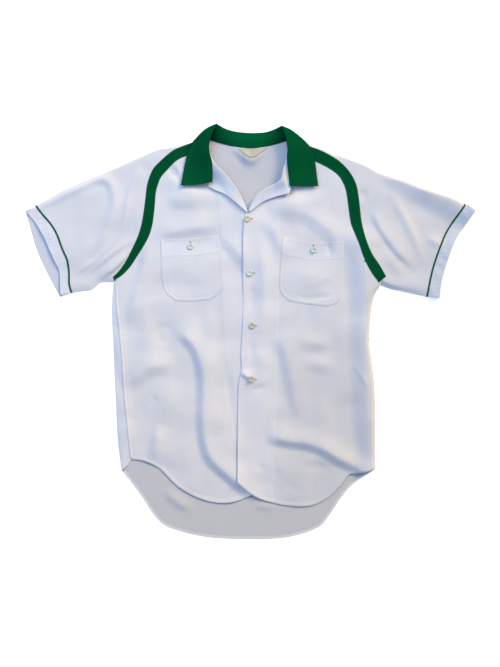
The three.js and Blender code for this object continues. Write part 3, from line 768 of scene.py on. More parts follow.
def put(made, values):
    """Sets unlinked inputs by their names."""
    for name, value in values.items():
        made.inputs[name].default_value = value


def node(tree, kind, inputs=None, **properties):
    made = tree.nodes.new(kind)
    for name, value in properties.items():
        setattr(made, name, value)
    put(made, inputs or {})
    return made


def link(tree, source, target):
    tree.links.new(source, target)


def mapped(tree, turn=0.0, stretch=(1, 1, 1)):
    """Object coordinates, turned about Z and stretched."""
    place = node(tree, "ShaderNodeTexCoord")
    mapping = node(tree, "ShaderNodeMapping", {"Rotation": (0, 0, turn), "Scale": stretch})
    link(tree, place.outputs["Object"], mapping.inputs["Vector"])
    return mapping.outputs["Vector"]


def wave(tree, pitch, turn=0.0, distortion=0.6, detail_scale=2.0):
    """Fine parallel bands with that pitch in millimetres."""
    inputs = {
        "Scale": 2 * math.pi / (20 * pitch * MM),
        "Distortion": distortion,
        "Detail": 1.0,
        "Detail Scale": detail_scale,
    }
    bands = node(tree, "ShaderNodeTexWave", inputs, wave_type="BANDS", bands_direction="X")
    link(tree, mapped(tree, turn), bands.inputs["Vector"])
    return bands.outputs["Fac"]


def noise(tree, size, stretch=(1, 1, 1), detail=3.0):
    """Soft noise whose blobs are about that many millimetres across."""
    made = node(tree, "ShaderNodeTexNoise", {"Scale": 1 / (size * MM), "Detail": detail})
    link(tree, mapped(tree, 0.0, stretch), made.inputs["Vector"])
    return made.outputs["Fac"]


def feed(tree, socket, value):
    """A number, a colour or another node's output into an input."""
    if isinstance(value, (int, float)):
        socket.default_value = value
    elif isinstance(value, tuple):
        socket.default_value = (*value, 1)
    else:
        link(tree, value, socket)


def times(tree, first, second):
    return maths(tree, "MULTIPLY", first, second)


def maths(tree, operation, first, second):
    made = node(tree, "ShaderNodeMath", operation=operation)
    feed(tree, made.inputs[0], first)
    feed(tree, made.inputs[1], second)
    return made.outputs[0]


def mix(tree, amount, first, second, blend="MIX"):
    made = node(tree, "ShaderNodeMix", data_type="RGBA", blend_type=blend)
    for socket, value in ((0, amount), (6, first), (7, second)):
        feed(tree, made.inputs[socket], value)
    return made.outputs[2]


def spread(tree, value, low, high):
    """A 0 to 1 value taken to another range."""
    made = node(tree, "ShaderNodeMapRange", {"To Min": low, "To Max": high})
    link(tree, value, made.inputs["Value"])
    return made.outputs["Result"]


def bump(tree, height, depth):
    made = node(tree, "ShaderNodeBump", {"Strength": 1.0, "Distance": depth * MM})
    link(tree, height, made.inputs["Height"])
    return made.outputs["Normal"]


def dress(tree, shader, colour, roughness, normal):
    for name, source in (("Base Color", colour), ("Normal", normal), ("Roughness", roughness)):
        link(tree, source, shader.inputs[name])


def cloth(name, single, double, weave=0.7, depth=0.05, roughness=0.72, sheen=0.2, gloss=0.2, twill=False,
          sheen_tint=(1, 1, 1)):
    """Woven cloth: warp and weft with painted shade between the threads, slubs along both, and a lighter
    tone where it lies over another ply; that tone also carries painted light and shade on some pieces.
    """
    made, tree, shader = material(name)
    # tone by plies, which also carries painted light and shade on some pieces
    plies_and_painted_light = node(tree, "ShaderNodeAttribute", attribute_name="plies_and_painted_light")
    base = mix(tree, plies_and_painted_light.outputs["Fac"], single, double)
    warp_slubs = noise(tree, SLUB_SIZE, (1, SLUB_STRETCH, 1))
    weft_slubs = noise(tree, SLUB_SIZE, (SLUB_STRETCH, 1, 1))
    mottle = noise(tree, MOTTLE_SIZE, detail=4.0)
    tone = times(tree, spread(tree, warp_slubs, *WARP_TONES), spread(tree, weft_slubs, *WEFT_TONES))
    tone = times(tree, tone, spread(tree, mottle, *MOTTLE_TONES))
    grain = node(tree, "ShaderNodeCombineColor")
    for channel in ("Red", "Green", "Blue"):
        link(tree, tone, grain.inputs[channel])
    colour = mix(tree, 1.0, base, grain.outputs["Color"], "MULTIPLY")
    if twill:
        threads = wave(tree, weave * 1.5, WARP_ANGLE, 0.8)
        woven = times(tree, threads, spread(tree, wave(tree, weave, WEFT_ANGLE, 0.5), 0.6, 1.0))
    else:
        woven = times(tree, wave(tree, weave), wave(tree, weave, math.radians(90)))
    # painted shade between the threads
    between = tuple(THREAD_GAP_SHADE * c for c in single)
    colour = mix(tree, spread(tree, woven, 0.0, THREAD_CONTRAST), colour, between)
    height = maths(tree, "ADD", woven, times(tree, warp_slubs, 1.5))
    rough = spread(tree, woven, roughness - 0.05, roughness + 0.08)
    dress(tree, shader, colour, rough, bump(tree, height, depth))
    put(shader, {
        "Specular IOR Level": gloss,
        "Sheen Weight": sheen,
        "Sheen Roughness": 0.45,
        "Sheen Tint": (*sheen_tint, 1),
    })
    return made


def pearl(name, light, dark):
    """Mother of pearl, with a cloudy swirl of two tones."""
    made, tree, shader = material(name)
    cloud = noise(tree, 2.2)
    swirl = wave(tree, 2.6, math.radians(25), 6.0, 0.6)
    colour = mix(tree, spread(tree, times(tree, cloud, swirl), 0.0, 1.5), light, dark)
    dress(tree, shader, colour, spread(tree, cloud, 0.18, 0.4), bump(tree, cloud, 0.03))
    put(shader, {"Coat Weight": 0.35, "Coat Roughness": 0.15})
    return made


def thread(name, colour):
    """Twisted sewing thread, with painted shade in the grooves of its twist."""
    made, tree, shader = material(name)
    twist = wave(tree, 0.25, math.radians(35), 0.3)
    # painted shade: the grooves of the twist are painted darker
    shaded = mix(tree, spread(tree, twist, 0.0, 0.35), colour, tuple(0.6 * c for c in colour))
    dress(tree, shader, shaded, spread(tree, twist, 0.55, 0.75), bump(tree, twist, 0.02))
    put(shader, {"Sheen Weight": 0.2})
    return made


MATERIALS = {
    "white": cloth("white_cloth", (0.52, 0.53, 0.58), (0.68, 0.69, 0.76)),
    "satin": cloth(
        "white_satin", (0.54, 0.56, 0.64), (0.66, 0.68, 0.76), roughness=0.5, depth=0.03, sheen=0.15,
    ),
    "green": cloth(
        "green_cloth", (0.0, 0.064, 0.022), (0.0005, 0.112, 0.037), weave=0.8, depth=0.08, roughness=0.9,
        sheen=0.02, gloss=0.02, twill=True, sheen_tint=(0.1, 1.0, 0.4),
    ),
    "label": cloth(
        "label_cloth", (0.38, 0.38, 0.31), (0.46, 0.46, 0.38), weave=0.4, depth=0.02, roughness=0.55,
    ),
    "cream": pearl("cream_pearl", (0.72, 0.68, 0.36), (0.50, 0.44, 0.16)),
    "pearl": pearl("white_pearl", (0.70, 0.76, 0.72), (0.46, 0.54, 0.46)),
    "olive": pearl("olive_pearl", (0.62, 0.62, 0.46), (0.28, 0.28, 0.14)),
    "mint": pearl("mint_pearl", (0.64, 0.74, 0.66), (0.42, 0.54, 0.44)),
    "white_thread": thread("white_thread", (0.60, 0.62, 0.68)),
    "green_thread": thread("green_thread", (0.002, 0.09, 0.03)),
    # painted shade: a dark thread that stands in for the shade inside a buttonhole's slit
    "shade": thread("slit_painted_shade", (0.12, 0.13, 0.17)),
}
SLOTS = {
    "white": "white_cloth",
    "satin": "white_satin",
    "green": "green_cloth",
    "label": "neck_label",
    "white_thread": "white_thread",
    "green_thread": "green_cloth",
    "shade": "white_thread",
    **dict.fromkeys(("cream", "pearl", "olive", "mint"), "button_pearl"),
}

# ---------------------------------------------------------------- seams and hems
EDGE_TURN = 0.25  # how far an edge rounds down, over the next distance
EDGE_TURN_WIDTH = 0.9
STITCH = {"length": 2.1, "pitch": 3.0, "width": 0.42, "high": 0.22, "lift": 0.05}
STITCH_RINGS = ((-1.0, 0.25), (-0.7, 1.0), (0.7, 1.0), (1.0, 0.25))  # place along it, share of its width
STITCH_SECTION = ((-1, 0), (0, 1), (1, 0), (0, -1))
FOLD_BULGE = 0.6  # how far a flattened fold rounds out past its line
CURVED = 0.3  # a piece that fills less of its box than this is a curved strip


def hemmed(height, edges, width=HEM, thick=0.45):
    """The height with a turned hem along each edge."""

    def hem(points):
        distance = np.min([near(edge, points).distance for edge in edges], axis=0)
        turned = thick * ramp(distance, width + 0.8, width - 0.2)
        return height(points) + turned - EDGE_TURN * ramp(distance, EDGE_TURN_WIDTH, 0)

    return hem


def hem_lines(edges, inward, width=HEM):
    """Vertex lines on both sides of each hem's inner edge. Inward is 1 where the cloth is on its left."""
    return [beside(edge, inward * d) for edge in edges for d in (width - 0.3, width + 0.9)]


def stitch_row(surface, line, height):
    """A row of sewn stitches along a line, each a small rounded capsule."""
    places = resample(line, STITCH["pitch"])
    tangent = np.gradient(places, axis=0)
    tangent /= np.hypot(*tangent.T)[:, None]
    side = np.stack([-tangent[:, 1], tangent[:, 0]], axis=1)
    z = height(places) + STITCH["lift"]
    half, wide, high = STITCH["length"] / 2, STITCH["width"] / 2, STITCH["high"]
    for k in range(len(places)):
        rings = []
        for along, size in STITCH_RINGS:
            centre = places[k] + tangent[k] * half * along
            ring = [
                (*(centre + side[k] * wide * size * across), z[k] + high * size * up * 0.5)
                for across, up in STITCH_SECTION
            ]
            rings.append(ring)
        surface.rod(rings)


# ---------------------------------------------------------------- pieces
def finish(piece, kind, nodes=(), slot=None):
    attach(piece, "root")
    slot or SLOTS[kind]
    if nodes:
        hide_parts(*nodes)
    return piece


def make(surface, name, kind, thickness=0.0, nodes=(), slot=None):
    return finish(surface.build(name, MATERIALS[kind], thickness), kind, nodes, slot)


def sew(name, kind, rows):
    """One piece from rows of stitches, each with its line and the height of the cloth under it."""
    threads = Surface()
    for line, height in rows:
        stitch_row(threads, line, height)
    return make(threads, name, kind)


def cut(plans, with_pieces=(), layers=1):
    """Works out the flat area, width and length of the outlines that a piece shows; none of it is kept."""
    low = np.min([plan.min(0) for plan in plans], axis=0)
    high = np.max([plan.max(0) for plan in plans], axis=0)
    area = sum(abs(area_of(plan)) for plan in plans) * layers * MM * MM
    width, length = (high - low) * MM
    length *= layers
    if area < CURVED * width * length:  # cut straight on the bias, or to its curve
        length = max(near(plan, plan[:1], True).total for plan in plans) / 2 * MM
        width = area / length
    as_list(with_pieces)


def raglan_line(side):
    """The middle line of the band, where sleeve and body are sewn together under it."""
    places = np.linspace(0, 1, 60)

    def even(line):
        shares = np.linspace(0, 1, len(line))
        return np.stack([np.interp(places, shares, line[:, k]) for k in (0, 1)], axis=1)

    return (even(spline(side["band_outer"], 5)) + even(spline(side["band_inner"], 5))) / 2


raglans = {name: raglan_line(side) for name, side in SIDES.items()}
right_raglan, left_raglan = raglans.values()
right_fold, left_fold = spline(RIGHT_FOLD), spline(LEFT_FOLD)
right_seam, left_seam = spline(RIGHT_SEAM), spline(LEFT_SEAM)
neck_seam, collar_fold = spline(NECK_SEAM), spline(COLLAR_FOLD, 2.5)
back_hem = spline(BACK_HEM)
front_hems = {"right": spline(RIGHT_HEM), "left": spline(LEFT_HEM)}

BACK_PLAN = closed(neck_seam, left_raglan, left_fold, back_hem[::-1], right_fold[::-1], right_raglan[::-1])
RIGHT_STRIP = closed(right_fold, back_hem[:1], right_seam[::-1])
LEFT_STRIP = closed(
    left_raglan[left_raglan[:, 1] < LEFT_STRIP_TOP],
    left_fold[left_fold[:, 1] > LEFT_STRIP_END],
    left_seam[::-1],
)
STAND_PLAN = closed(neck_seam, collar_fold[::-1])
FRONT_PLANS = {
    "right": closed(
        spline(RIGHT["roll"]),
        spline(RIGHT_FRONT_EDGE),
        front_hems["right"][::-1],
        right_seam[::-1],
        right_raglan[::-1],
    ),
    "left": closed(
        left_raglan[left_raglan[:, 1] > LEFT_FRONT_CORNER],
        left_seam,
        left_fold[left_fold[:, 1] < LEFT_STRIP_END],
        front_hems["left"][::-1],
        spline(LEFT_FRONT_EDGE)[::-1],
        spline(LEFT["roll"])[::-1],
    ),
}


def tail_plies(points):
    """The tail's turned hem looks lighter than its single cloth."""
    return 0.8 * ramp(near(back_hem, points).distance, HEM + 0.6, HEM - 0.1)


def tail_underside(points):
    """The back's outer face, a little lower where the tail's hem is turned."""
    hem = hemmed(lambda p: np.zeros(len(p)), [back_hem])
    return back_under(points) - TAIL_HEM * hem(points) * (points[:, 1] < TAIL_TOP)


def add_back():
    surface = Surface()
    creases = [resample(spline(step.path, 8), 4) for step in STEPS if step.name in BACK_CREASES]
    lines = hem_lines([back_hem], 1) + creases
    surface.patch(BACK_PLAN, tail_underside, 6, lines, plies_and_painted_light=tail_plies, underside=True)
    # painted light: the right side strip is given a lighter tone than the left one, against the shade that
    # falls on it
    surface.patch(RIGHT_STRIP, front_top, SPACING, plies_and_painted_light=1.0)
    surface.patch(LEFT_STRIP, front_top, SPACING, plies_and_painted_light=0.55)
    surface.wall(right_fold, front_top, back_under, FOLD_BULGE, plies_and_painted_light=0.55)
    surface.wall(left_fold, front_top, back_under, -FOLD_BULGE, plies_and_painted_light=0.55)
    piece = make(surface, "back_cloth", "white", CLOTH, ["back"])
    cut([BACK_PLAN, RIGHT_STRIP, LEFT_STRIP])


FRONT_PLIES = 0.72
FACING_PLIES = 0.14
# how much darker the left front's lower belly is painted: painted shade
BELLY_PAINTED_SHADE = 0.34
SLEEVE_PLIES = 0.55
BAND_PLIES = 0.06
LEAF_PLIES = 0.12


def facing_plies_and_belly_shade(name):
    """Cloth over its own facing looks lighter than cloth over the back; the left front's lower belly is
    painted darker, a painted shade.
    """

    def plies_and_painted_light(points):
        x, y = points.T
        # painted shade: the left front's lower belly is painted darker
        belly_shade = BELLY_PAINTED_SHADE * ramp(y, 60, -80) * ramp(x, 20, 110) if name == "left" else 0
        return FRONT_PLIES + FACING_PLIES * over_facing(points, name, 2) - belly_shade

    return plies_and_painted_light


def add_fronts():
    for name, plan in FRONT_PLANS.items():
        hem = front_hems[name]
        facing = [beside(FACING_LINES[name], d) for d in (-FACING_EDGE, FACING_EDGE)]
        surface = Surface()
        height = hemmed(FRONT_TOPS[name], [hem])
        surface.patch(plan, height, SPACING, hem_lines([hem], 1) + facing, plies_and_painted_light=facing_plies_and_belly_shade(name))
        piece = make(surface, f"front_{name}_cloth", "white", CLOTH, [f"front_{name}"])
        cut([plan])


def add_sleeves():
    for name, side in SIDES.items():
        top, underarm, piping = (spline(side[line]) for line in ("top", "underarm", "piping"))
        plan = closed(raglans[name], underarm[::-1], piping[::-1], top[::-1])
        surface = Surface()
        surface.patch(plan, front_top, SPACING, plies_and_painted_light=SLEEVE_PLIES)
        surface.patch(plan, under, 8, plies_and_painted_light=0.3, underside=True)
        for edge in (top, underarm):
            surface.wall(edge, front_top, under, -FOLD_BULGE * side["out"], plies_and_painted_light=SLEEVE_PLIES)
        piece = make(surface, f"sleeve_{name}_cloth", "white", CLOTH, [f"sleeve_{name}"])
        cut([plan], layers=2)


# Height, length, sway, the sway's length and slant of the puckers across a cuff.
PUCKERS = [(0.42, 31, 2.4, 19, 0.12), (0.12, 9.7, 2.0, 13, -0.2)]
CUFF_HEM = 1.6


def puckered(side):
    """A cuff's front, where its seams have drawn it together unevenly."""
    edge = spline(side["cuff_front"])

    def height(points):
        place = near(edge, points)
        along, inward = place.along, place.distance
        waves = sum(
            high * np.sin(2 * math.pi * along / length + sway * np.sin(along / period) + slant * inward)
            for high, length, sway, period, slant in PUCKERS
        )
        tilt = side["cuff_tilt"] * np.maximum(CUFF_WIDTH - inward, 0)
        return front_top(points) + waves * bell(inward - 11, 9) + tilt

    return height


def cuff_start(side):
    return beside(spline(side["piping"]), side["out"] * 2.0)


def add_cuffs():
    for name, side in SIDES.items():
        out, start = side["out"], cuff_start(side)
        front_end, back_end = spline(side["cuff_front"]), spline(side["cuff_back"])
        front_plan, back_plan = (closed(start, end[::-1]) for end in (front_end, back_end))
        height = hemmed(puckered(side), [front_end], CUFF_HEM, 0.35)
        lines = hem_lines([front_end], out, CUFF_HEM)
        surface = Surface()
        # the cuff's tone, with painted shade on the left cuff
        surface.patch(front_plan, height, 2.2, lines, plies_and_painted_light=side["cuff_plies_and_painted_shade"])
        surface.patch(back_plan, under, 5, plies_and_painted_light=0.1, underside=True)
        for ends in ([start[0], front_end[0]], [front_end[-1], start[-1]]):
            surface.wall(resample(ends, 3), height, under, -0.5 * out, plies_and_painted_light=0.6)
        piece = make(surface, f"cuff_{name}_cloth", "satin", CLOTH, [f"cuff_{name}"])
        cut([front_plan, back_plan])


def tube(name, path, width, high, kind, nodes=(), sides=10, is_closed=False):
    """A cord with an oval section along a path of (x, y, z) points."""
    path = np.asarray(path, float)
    tangent = np.gradient(path, axis=0)
    if is_closed:
        tangent = np.roll(path, -1, axis=0) - np.roll(path, 1, axis=0)
    flat = np.stack([-tangent[:, 1], tangent[:, 0], np.zeros(len(path))], axis=1)
    size = np.linalg.norm(flat, axis=1, keepdims=True)
    flat = np.where(size > 1e-6, flat / np.maximum(size, 1e-6), 0)
    for k in range(1, len(flat)):
        if not flat[k].any():
            flat[k] = flat[k - 1]
    rise = np.cross(tangent / np.linalg.norm(tangent, axis=1, keepdims=True), flat)
    rings = [
        [c + f * math.cos(a) * width / 2 + r * math.sin(a) * high / 2 for a in turns(sides)]
        for c, f, r in zip(path, flat, rise)
    ]
    surface = Surface()
    surface.rod(rings, flip=True, loop=is_closed)
    return make(surface, name, kind, 0.0, nodes)


PIPING = {"width": 3.6, "high": 1.9, "over": 0.35, "below": 0.9}


def add_piping():
    """A cord round each sleeve end, over the front ply and back under the other."""
    for name, side in SIDES.items():
        line = beside(spline(side["piping"], 2.5), side["out"] * 1.0)
        over = np.column_stack([line, front_top(line) + PIPING["over"]])
        below = np.column_stack([line, under(line) + PIPING["below"]])[::-1]
        loop = np.vstack([over, below])
        nodes = [f"piping_{name}"]
        tube(f"piping_{name}_cord", loop, PIPING["width"], PIPING["high"], "green", nodes, is_closed=True)


BAND = {"lift": 0.62, "turned": 4.5, "stitches": 1.6}


def add_bands():
    for name, side in SIDES.items():
        outer, inner = spline(side["band_outer"]), spline(side["band_inner"])
        plan = closed(outer, inner[::-1])
        edges = ((outer, -side["out"]), (inner, side["out"]))
        height = hemmed(lambda p: front_top(p) + BAND["lift"], [outer, inner], BAND["turned"], 0.22)
        turned = [beside(edge, inward * d) for edge, inward in edges for d in (4.2, 5.4)]
        surface = Surface()
        surface.patch(plan, height, 3, turned, plies_and_painted_light=BAND_PLIES)
        piece = make(surface, f"band_{name}_cloth", "green", CLOTH, [f"band_{name}"])
        rows = [(beside(edge, inward * BAND["stitches"]), height) for edge, inward in edges]
        sewn = sew(f"band_{name}_stitches", "green_thread", rows)
        cut([plan], [sewn])


LEAF_LINES = ("leaf_over", "leaf_outer", "leaf_end", "crest")
LAPEL_BED = 0.75
LAPEL_LIFT = 2.4  # how far the lapel's free edge stands off the front
LEAF_CLEARANCE = 3.2  # from the leaf's outer face down to the lapel under it


def lapel_height(name):
    side = SIDES[name]
    edge, crest = spline(side["lapel_edge"], 4), spline(side["crest"], 4)
    leaf = closed(*(spline(side[line], 4) for line in LEAF_LINES))

    def height(points):
        lifted = LAPEL_LIFT * bell(near(edge, points).distance, 10)
        pulls = sum(ridge(points, *pull) for pull in side["lapel_pulls"])
        free = FRONT_TOPS[name](points) + LAPEL_BED + lifted + pulls
        clear = np.where(contains(leaf, points), 0, near(crest, points).distance)
        return np.minimum(free, leaf_top(points) - LEAF_CLEARANCE + 20 * ramp(clear, 3, 20))

    return height


def roll_inside(height):
    """Where a roll's inner side ends, a little under the lapel."""
    return lambda points: height(points) - np.minimum(3.5, 0.35 * roll_height(points) + 1.0)


def add_lapels():
    for name, side in SIDES.items():
        out = side["out"]
        roll, edge = spline(side["roll"], 2.5), spline(side["lapel_edge"], 2.5)
        height = hemmed(lapel_height(name), [edge], 1.4, 0.25)
        plan = closed(roll, edge[::-1], resample(side["lapel_hidden"][::-1], 3))
        surface = Surface()
        surface.patch(plan, height, 2.5, [beside(edge, -out * 1.4), beside(roll, out * 1.0)], plies_and_painted_light=0.75)
        surface.wall(roll, height, roll_inside(height), 0.9 * out, plies_and_painted_light=0.9)
        piece = make(surface, f"lapel_{name}_cloth", "satin", CLOTH, [f"lapel_{name}"])
        cut([plan])


POCKET_ROWS = (1.6, 7.6)  # the stitch rows' distances from the edge
GROOVE = 0.7  # how wide the cloth sinks under a row
ROW_DEPTH = 0.24
HEM_ROW_DEPTH = 0.26
TURNED_EDGE = 0.1  # how much the turned edges and the mouth's hem thicken a pocket
TURNED_MOUTH = 0.2
GAPE = 1.1  # how far the mouth stands open, over about the next distance
GAPE_REACH = 5
POCKET_EDGE_TURN = 0.35


def pocket_lines(name):
    """The mouth, the rest of the edge and the whole outline."""
    pocket = POCKETS[name]
    top = spline(pocket["top"], 2.5)
    rest = resample([pocket["top"][-1], *pocket["rest"], pocket["top"][0]], 2.5)
    return top, rest, closed(top, rest)


def pocket_height(name):
    """A pocket's outer face: turned edges, a gaping mouth and rows of stitches that sink in."""
    top, rest, _ = pocket_lines(name)

    def height(points):
        rim, mouth = near(rest, points).distance, near(top, points).distance
        z = FRONT_TOPS[name](points) + CLOTH + 0.02
        z = z + TURNED_EDGE * ramp(rim, 7.2, 6.4)
        z = z + TURNED_MOUTH * ramp(mouth, POCKET_HEM + 0.4, POCKET_HEM - 0.4)
        z = z + GAPE * np.exp(-mouth / GAPE_REACH) * ramp(rim, 4, 22)
        for inset in POCKET_ROWS:
            z = z - ROW_DEPTH * bell(rim - inset, GROOVE) * ramp(mouth, 0.4, 2)
        z = z - HEM_ROW_DEPTH * bell(mouth - POCKET_HEM, GROOVE)
        return z - POCKET_EDGE_TURN * ramp(rim, 1.2, 0)

    return height


def pocket_plies(top):
    """The turned top hem looks lighter than the rest."""
    return lambda points: 0.78 + 0.22 * ramp(near(top, points).distance, POCKET_HEM + 1, POCKET_HEM - 1)


def add_pockets():
    for name in POCKETS:
        top, rest, plan = pocket_lines(name)
        height = pocket_height(name)
        lines = [beside(rest, -d) for d in (1.0, 1.6, 2.2, 6.6, 7.6, 8.4)]
        lines += [beside(top, -POCKET_HEM + d) for d in (-0.7, 0, 0.7)]
        lines += [beside(top, -d) for d in (1.5, 4, 8)]
        surface = Surface()
        surface.patch(plan, height, 2.2, lines, plies_and_painted_light=pocket_plies(top))
        piece = make(surface, f"pocket_{name}_cloth", "white", CLOTH, [f"pocket_{name}"])
        rows = [beside(rest, -inset) for inset in POCKET_ROWS] + [beside(top, -POCKET_HEM)]
        rows = [(row[contains(plan, row)], height) for row in rows]
        sewn = sew(f"pocket_{name}_stitches", "white_thread", rows)
        cut([plan], [sewn])


COLLAR_BULGE = 1.2
CREST_DROP = 5


def crest_foot(points):
    """The inside of a leaf's crest, down behind it."""
    return leaf_top(points) - CREST_DROP


def stand_painted_light_and_shade(points):
    """The stand's colour is painted lightest in the middle of the back and darker towards its ends: painted
    light and shade.
    """
    return 0.95 - 0.9 * ramp(np.abs(points[:, 0] - STAND_MIDDLE), 20, 66)


def add_collar():
    surface = Surface()
    plans, sewn = [STAND_PLAN], []
    for name, side in SIDES.items():
        out = side["out"]
        over, outer, end, crest = (spline(side[line], 2.5) for line in LEAF_LINES)
        plan = closed(over, outer, end, crest)
        height = hemmed(leaf_top, [np.vstack([outer, end])], 5.0, 0.3)
        lines = [beside(edge, -out * d) for edge in (outer, end) for d in (4.6, 5.8)]
        surface.patch(plan, height, 2.6, lines, plies_and_painted_light=LEAF_PLIES)
        surface.wall(over, height, ground, -COLLAR_BULGE * out, 6, plies_and_painted_light=LEAF_PLIES)
        surface.wall(crest, height, crest_foot, -1.0 * out, 4, plies_and_painted_light=0.0)
        plans.append(plan)
        sewn.append(sew(f"collar_{name}_stitches", "green_thread", [(beside(outer, -out * 5.0), height)]))
    surface.patch(STAND_PLAN, stand_top, 2.6, plies_and_painted_light=stand_painted_light_and_shade)
    surface.wall(collar_fold, stand_top, ground, -COLLAR_BULGE, 6, plies_and_painted_light=0.5)
    right_over, left_over = (spline(side["leaf_over"]) for side in SIDES.values())
    fall = closed(right_over[::-1], collar_fold, left_over, spline(COLLAR_FALL)[::-1])
    surface.patch(fall, ground, 6, plies_and_painted_light=LEAF_PLIES, underside=True)
    piece = make(surface, "collar_cloth", "green", COLLAR_CLOTH, ["collar"])
    cut([*plans, fall], sewn)


LABEL_BED = 0.9
LABEL_HANG = 0.8


def label_height(points):
    """The label hangs from the neck seam and stands off the back below it."""
    hang = LABEL_HANG * ramp(near(neck_seam, points).distance, 2, 18)
    return back_top(points) + LABEL_BED + hang


def add_label():
    plan = closed(spline(LABEL[:2], 2), spline(LABEL[1:] + LABEL[:1], 2))
    surface = Surface()
    surface.patch(plan, hemmed(label_height, [plan], 1.2, 0.15), 1.6, plies_and_painted_light=0.6)
    piece = make(surface, "neck_label_cloth", "label", LABEL_CLOTH, ["label"])
    cut([plan])


def lathe(surface, profile, centre, segments=48):
    """A turned shape, from (radius, height) pairs down from the middle of its top round the rim."""
    x, y, z = centre
    surface.rod([
        [(x + radius * math.cos(a), y + radius * math.sin(a), z + high) for a in turns(segments)]
        for radius, high in profile
    ])


def capsule(surface, path, radius, sides=6):
    """A length of thread along a path of (x, y, z) points."""
    path = np.asarray(path, float)
    tangent = np.gradient(path, axis=0)
    tangent /= np.linalg.norm(tangent, axis=1, keepdims=True)
    flat = np.cross(tangent, (0, 0, 1.0))
    flat /= np.maximum(np.linalg.norm(flat, axis=1, keepdims=True), 1e-6)
    rise = np.cross(flat, tangent)
    surface.rod([
        [c + radius * (f * math.cos(a) + r * math.sin(a)) for a in turns(sides)]
        for c, f, r in zip(path, flat, rise)
    ])


BUTTON_RADIUS = 5.75
BUTTON_PROFILE = [
    (0.01, 1.55), (2.9, 1.55), (3.7, 1.75), (4.3, 2.15), (4.8, 2.3), (5.3, 2.2), (5.65, 1.8), (5.75, 1.3),
    (5.6, 0.7), (5.1, 0.25), (4.2, 0.0), (0.01, 0.0),
]
BUTTON_GAP = 0.15
BUTTON_FACE = 1.75  # where the crossed thread runs, above the button's underside
BUTTON_THREAD = 0.17
STRAND_SHIFT = 0.16
HOLE_SINK = 0.9
HOLE_CIRCLE = 1.55
HOLE_RADIUS = 0.55
HOLE_ANGLES = [math.radians(45 + 90 * k) for k in range(4)]


def cloth_under(button):
    """The height of the cloth that a button sits on."""
    kind, name = button.cloth.split("_")
    return FRONT_TOPS[name] if kind == "front" else pocket_height(name)


def drill(piece, tool):
    """Cuts the tool out of the piece for good."""
    cutting = piece.modifiers.new("holes", "BOOLEAN")
    cutting.operation = "DIFFERENCE"
    cutting.object = tool
    drilled = bpy.data.meshes.new_from_object(piece.evaluated_get(bpy.context.evaluated_depsgraph_get()))
    piece.modifiers.clear()
    piece.data = drilled
    bpy.data.objects.remove(tool)


def add_button(button, height):
    """A four-hole pearl button with a raised rim and a crossed thread, on its cloth."""
    x, y, r = button.x, button.y, BUTTON_RADIUS
    around = [(x + r * math.cos(a), y + r * math.sin(a)) for a in np.linspace(0, 6.28, 16)]
    z = float(height(np.array([*around, (x, y)])).max()) + BUTTON_GAP
    disc, cutter, threads = Surface(), Surface(), Surface()
    lathe(disc, BUTTON_PROFILE, (x, y, z))
    for angle in HOLE_ANGLES:
        hole = (x + HOLE_CIRCLE * math.cos(angle), y + HOLE_CIRCLE * math.sin(angle), z - 1)
        lathe(cutter, [(HOLE_RADIUS, 4.5), (HOLE_RADIUS, 0.0)], hole, 16)
    made = MATERIALS[button.tint]
    piece = disc.build(button.node + "_pearl", made, 0)
    drill(piece, cutter.build("hole_cutter", made, 0))
    finish(piece, button.tint, [button.node])
    for a in HOLE_ANGLES[:2]:
        for shift in (-STRAND_SHIFT, STRAND_SHIFT):
            path = []
            for t in np.linspace(-1, 1, 9):
                reach = HOLE_CIRCLE * t
                sunk = HOLE_SINK if abs(t) == 1 else 0
                lift = BUTTON_FACE + 0.28 * (1 - t * t) - sunk
                across = x + reach * math.cos(a) - shift * math.sin(a)
                up = y + reach * math.sin(a) + shift * math.cos(a)
                path.append((across, up, z + lift))
            capsule(threads, path, BUTTON_THREAD)
    make(threads, button.node + "_thread", "white_thread")


def add_buttons():
    for button in BUTTONS:
        add_button(button, cloth_under(button))


SEAM = {"step": 1.25, "pitch": 5.0, "width": 6.0, "high": 1.4, "cloth": 0.3, "row": 1.7}


def add_side_seam():
    """The felled side seam in front of the right side fold, drawn up into small beads by its stitching."""
    line = resample(right_seam, SEAM["step"])[4:-3]
    along = np.arange(len(line)) * SEAM["step"]
    bead = 0.5 + 0.5 * np.cos(2 * math.pi * along / SEAM["pitch"])
    rows = []
    for share in np.linspace(-1, 1, 7):
        edge = beside(line, share * SEAM["width"] / 2 * (0.88 + 0.12 * np.cos(along / 3.1)))
        lift = SEAM["high"] * (1 - share**2) * (0.35 + 0.65 * bead)
        rows.append(np.column_stack([edge, front_top(edge) + 0.08 + lift]))
    surface = Surface()
    surface.add(np.vstack(rows), grid(len(rows), len(line), flip=True), 1.0)
    make(surface, "side_seam_right_cord", "satin", SEAM["cloth"], slot="white_thread")
    rows = [(beside(line, side * SEAM["row"]), lambda p: front_top(p) + SEAM["cloth"]) for side in (-1, 1)]
    sew("side_seam_right_stitches", "white_thread", rows)


def add_hem_stitches():
    """Rows of stitches along the hems and the cuffs."""
    hems = {f"front_{name}": (hem, hemmed(FRONT_TOPS[name], [hem])) for name, hem in front_hems.items()}
    hems["back"] = (back_hem, back_top)
    for name, (hem, height) in hems.items():
        sew(f"hem_{name}_stitches", "white_thread", [(beside(hem, HEM - 0.8), height)])
    for name, side in SIDES.items():
        line = beside(cuff_start(side), side["out"] * 1.8)[2:-2]
        sew(f"cuff_{name}_stitches", "white_thread", [(line, puckered(side))])


BUTTONHOLE = {"length": 15.0, "width": 2.6, "start": -4.0, "pitch": 0.55}


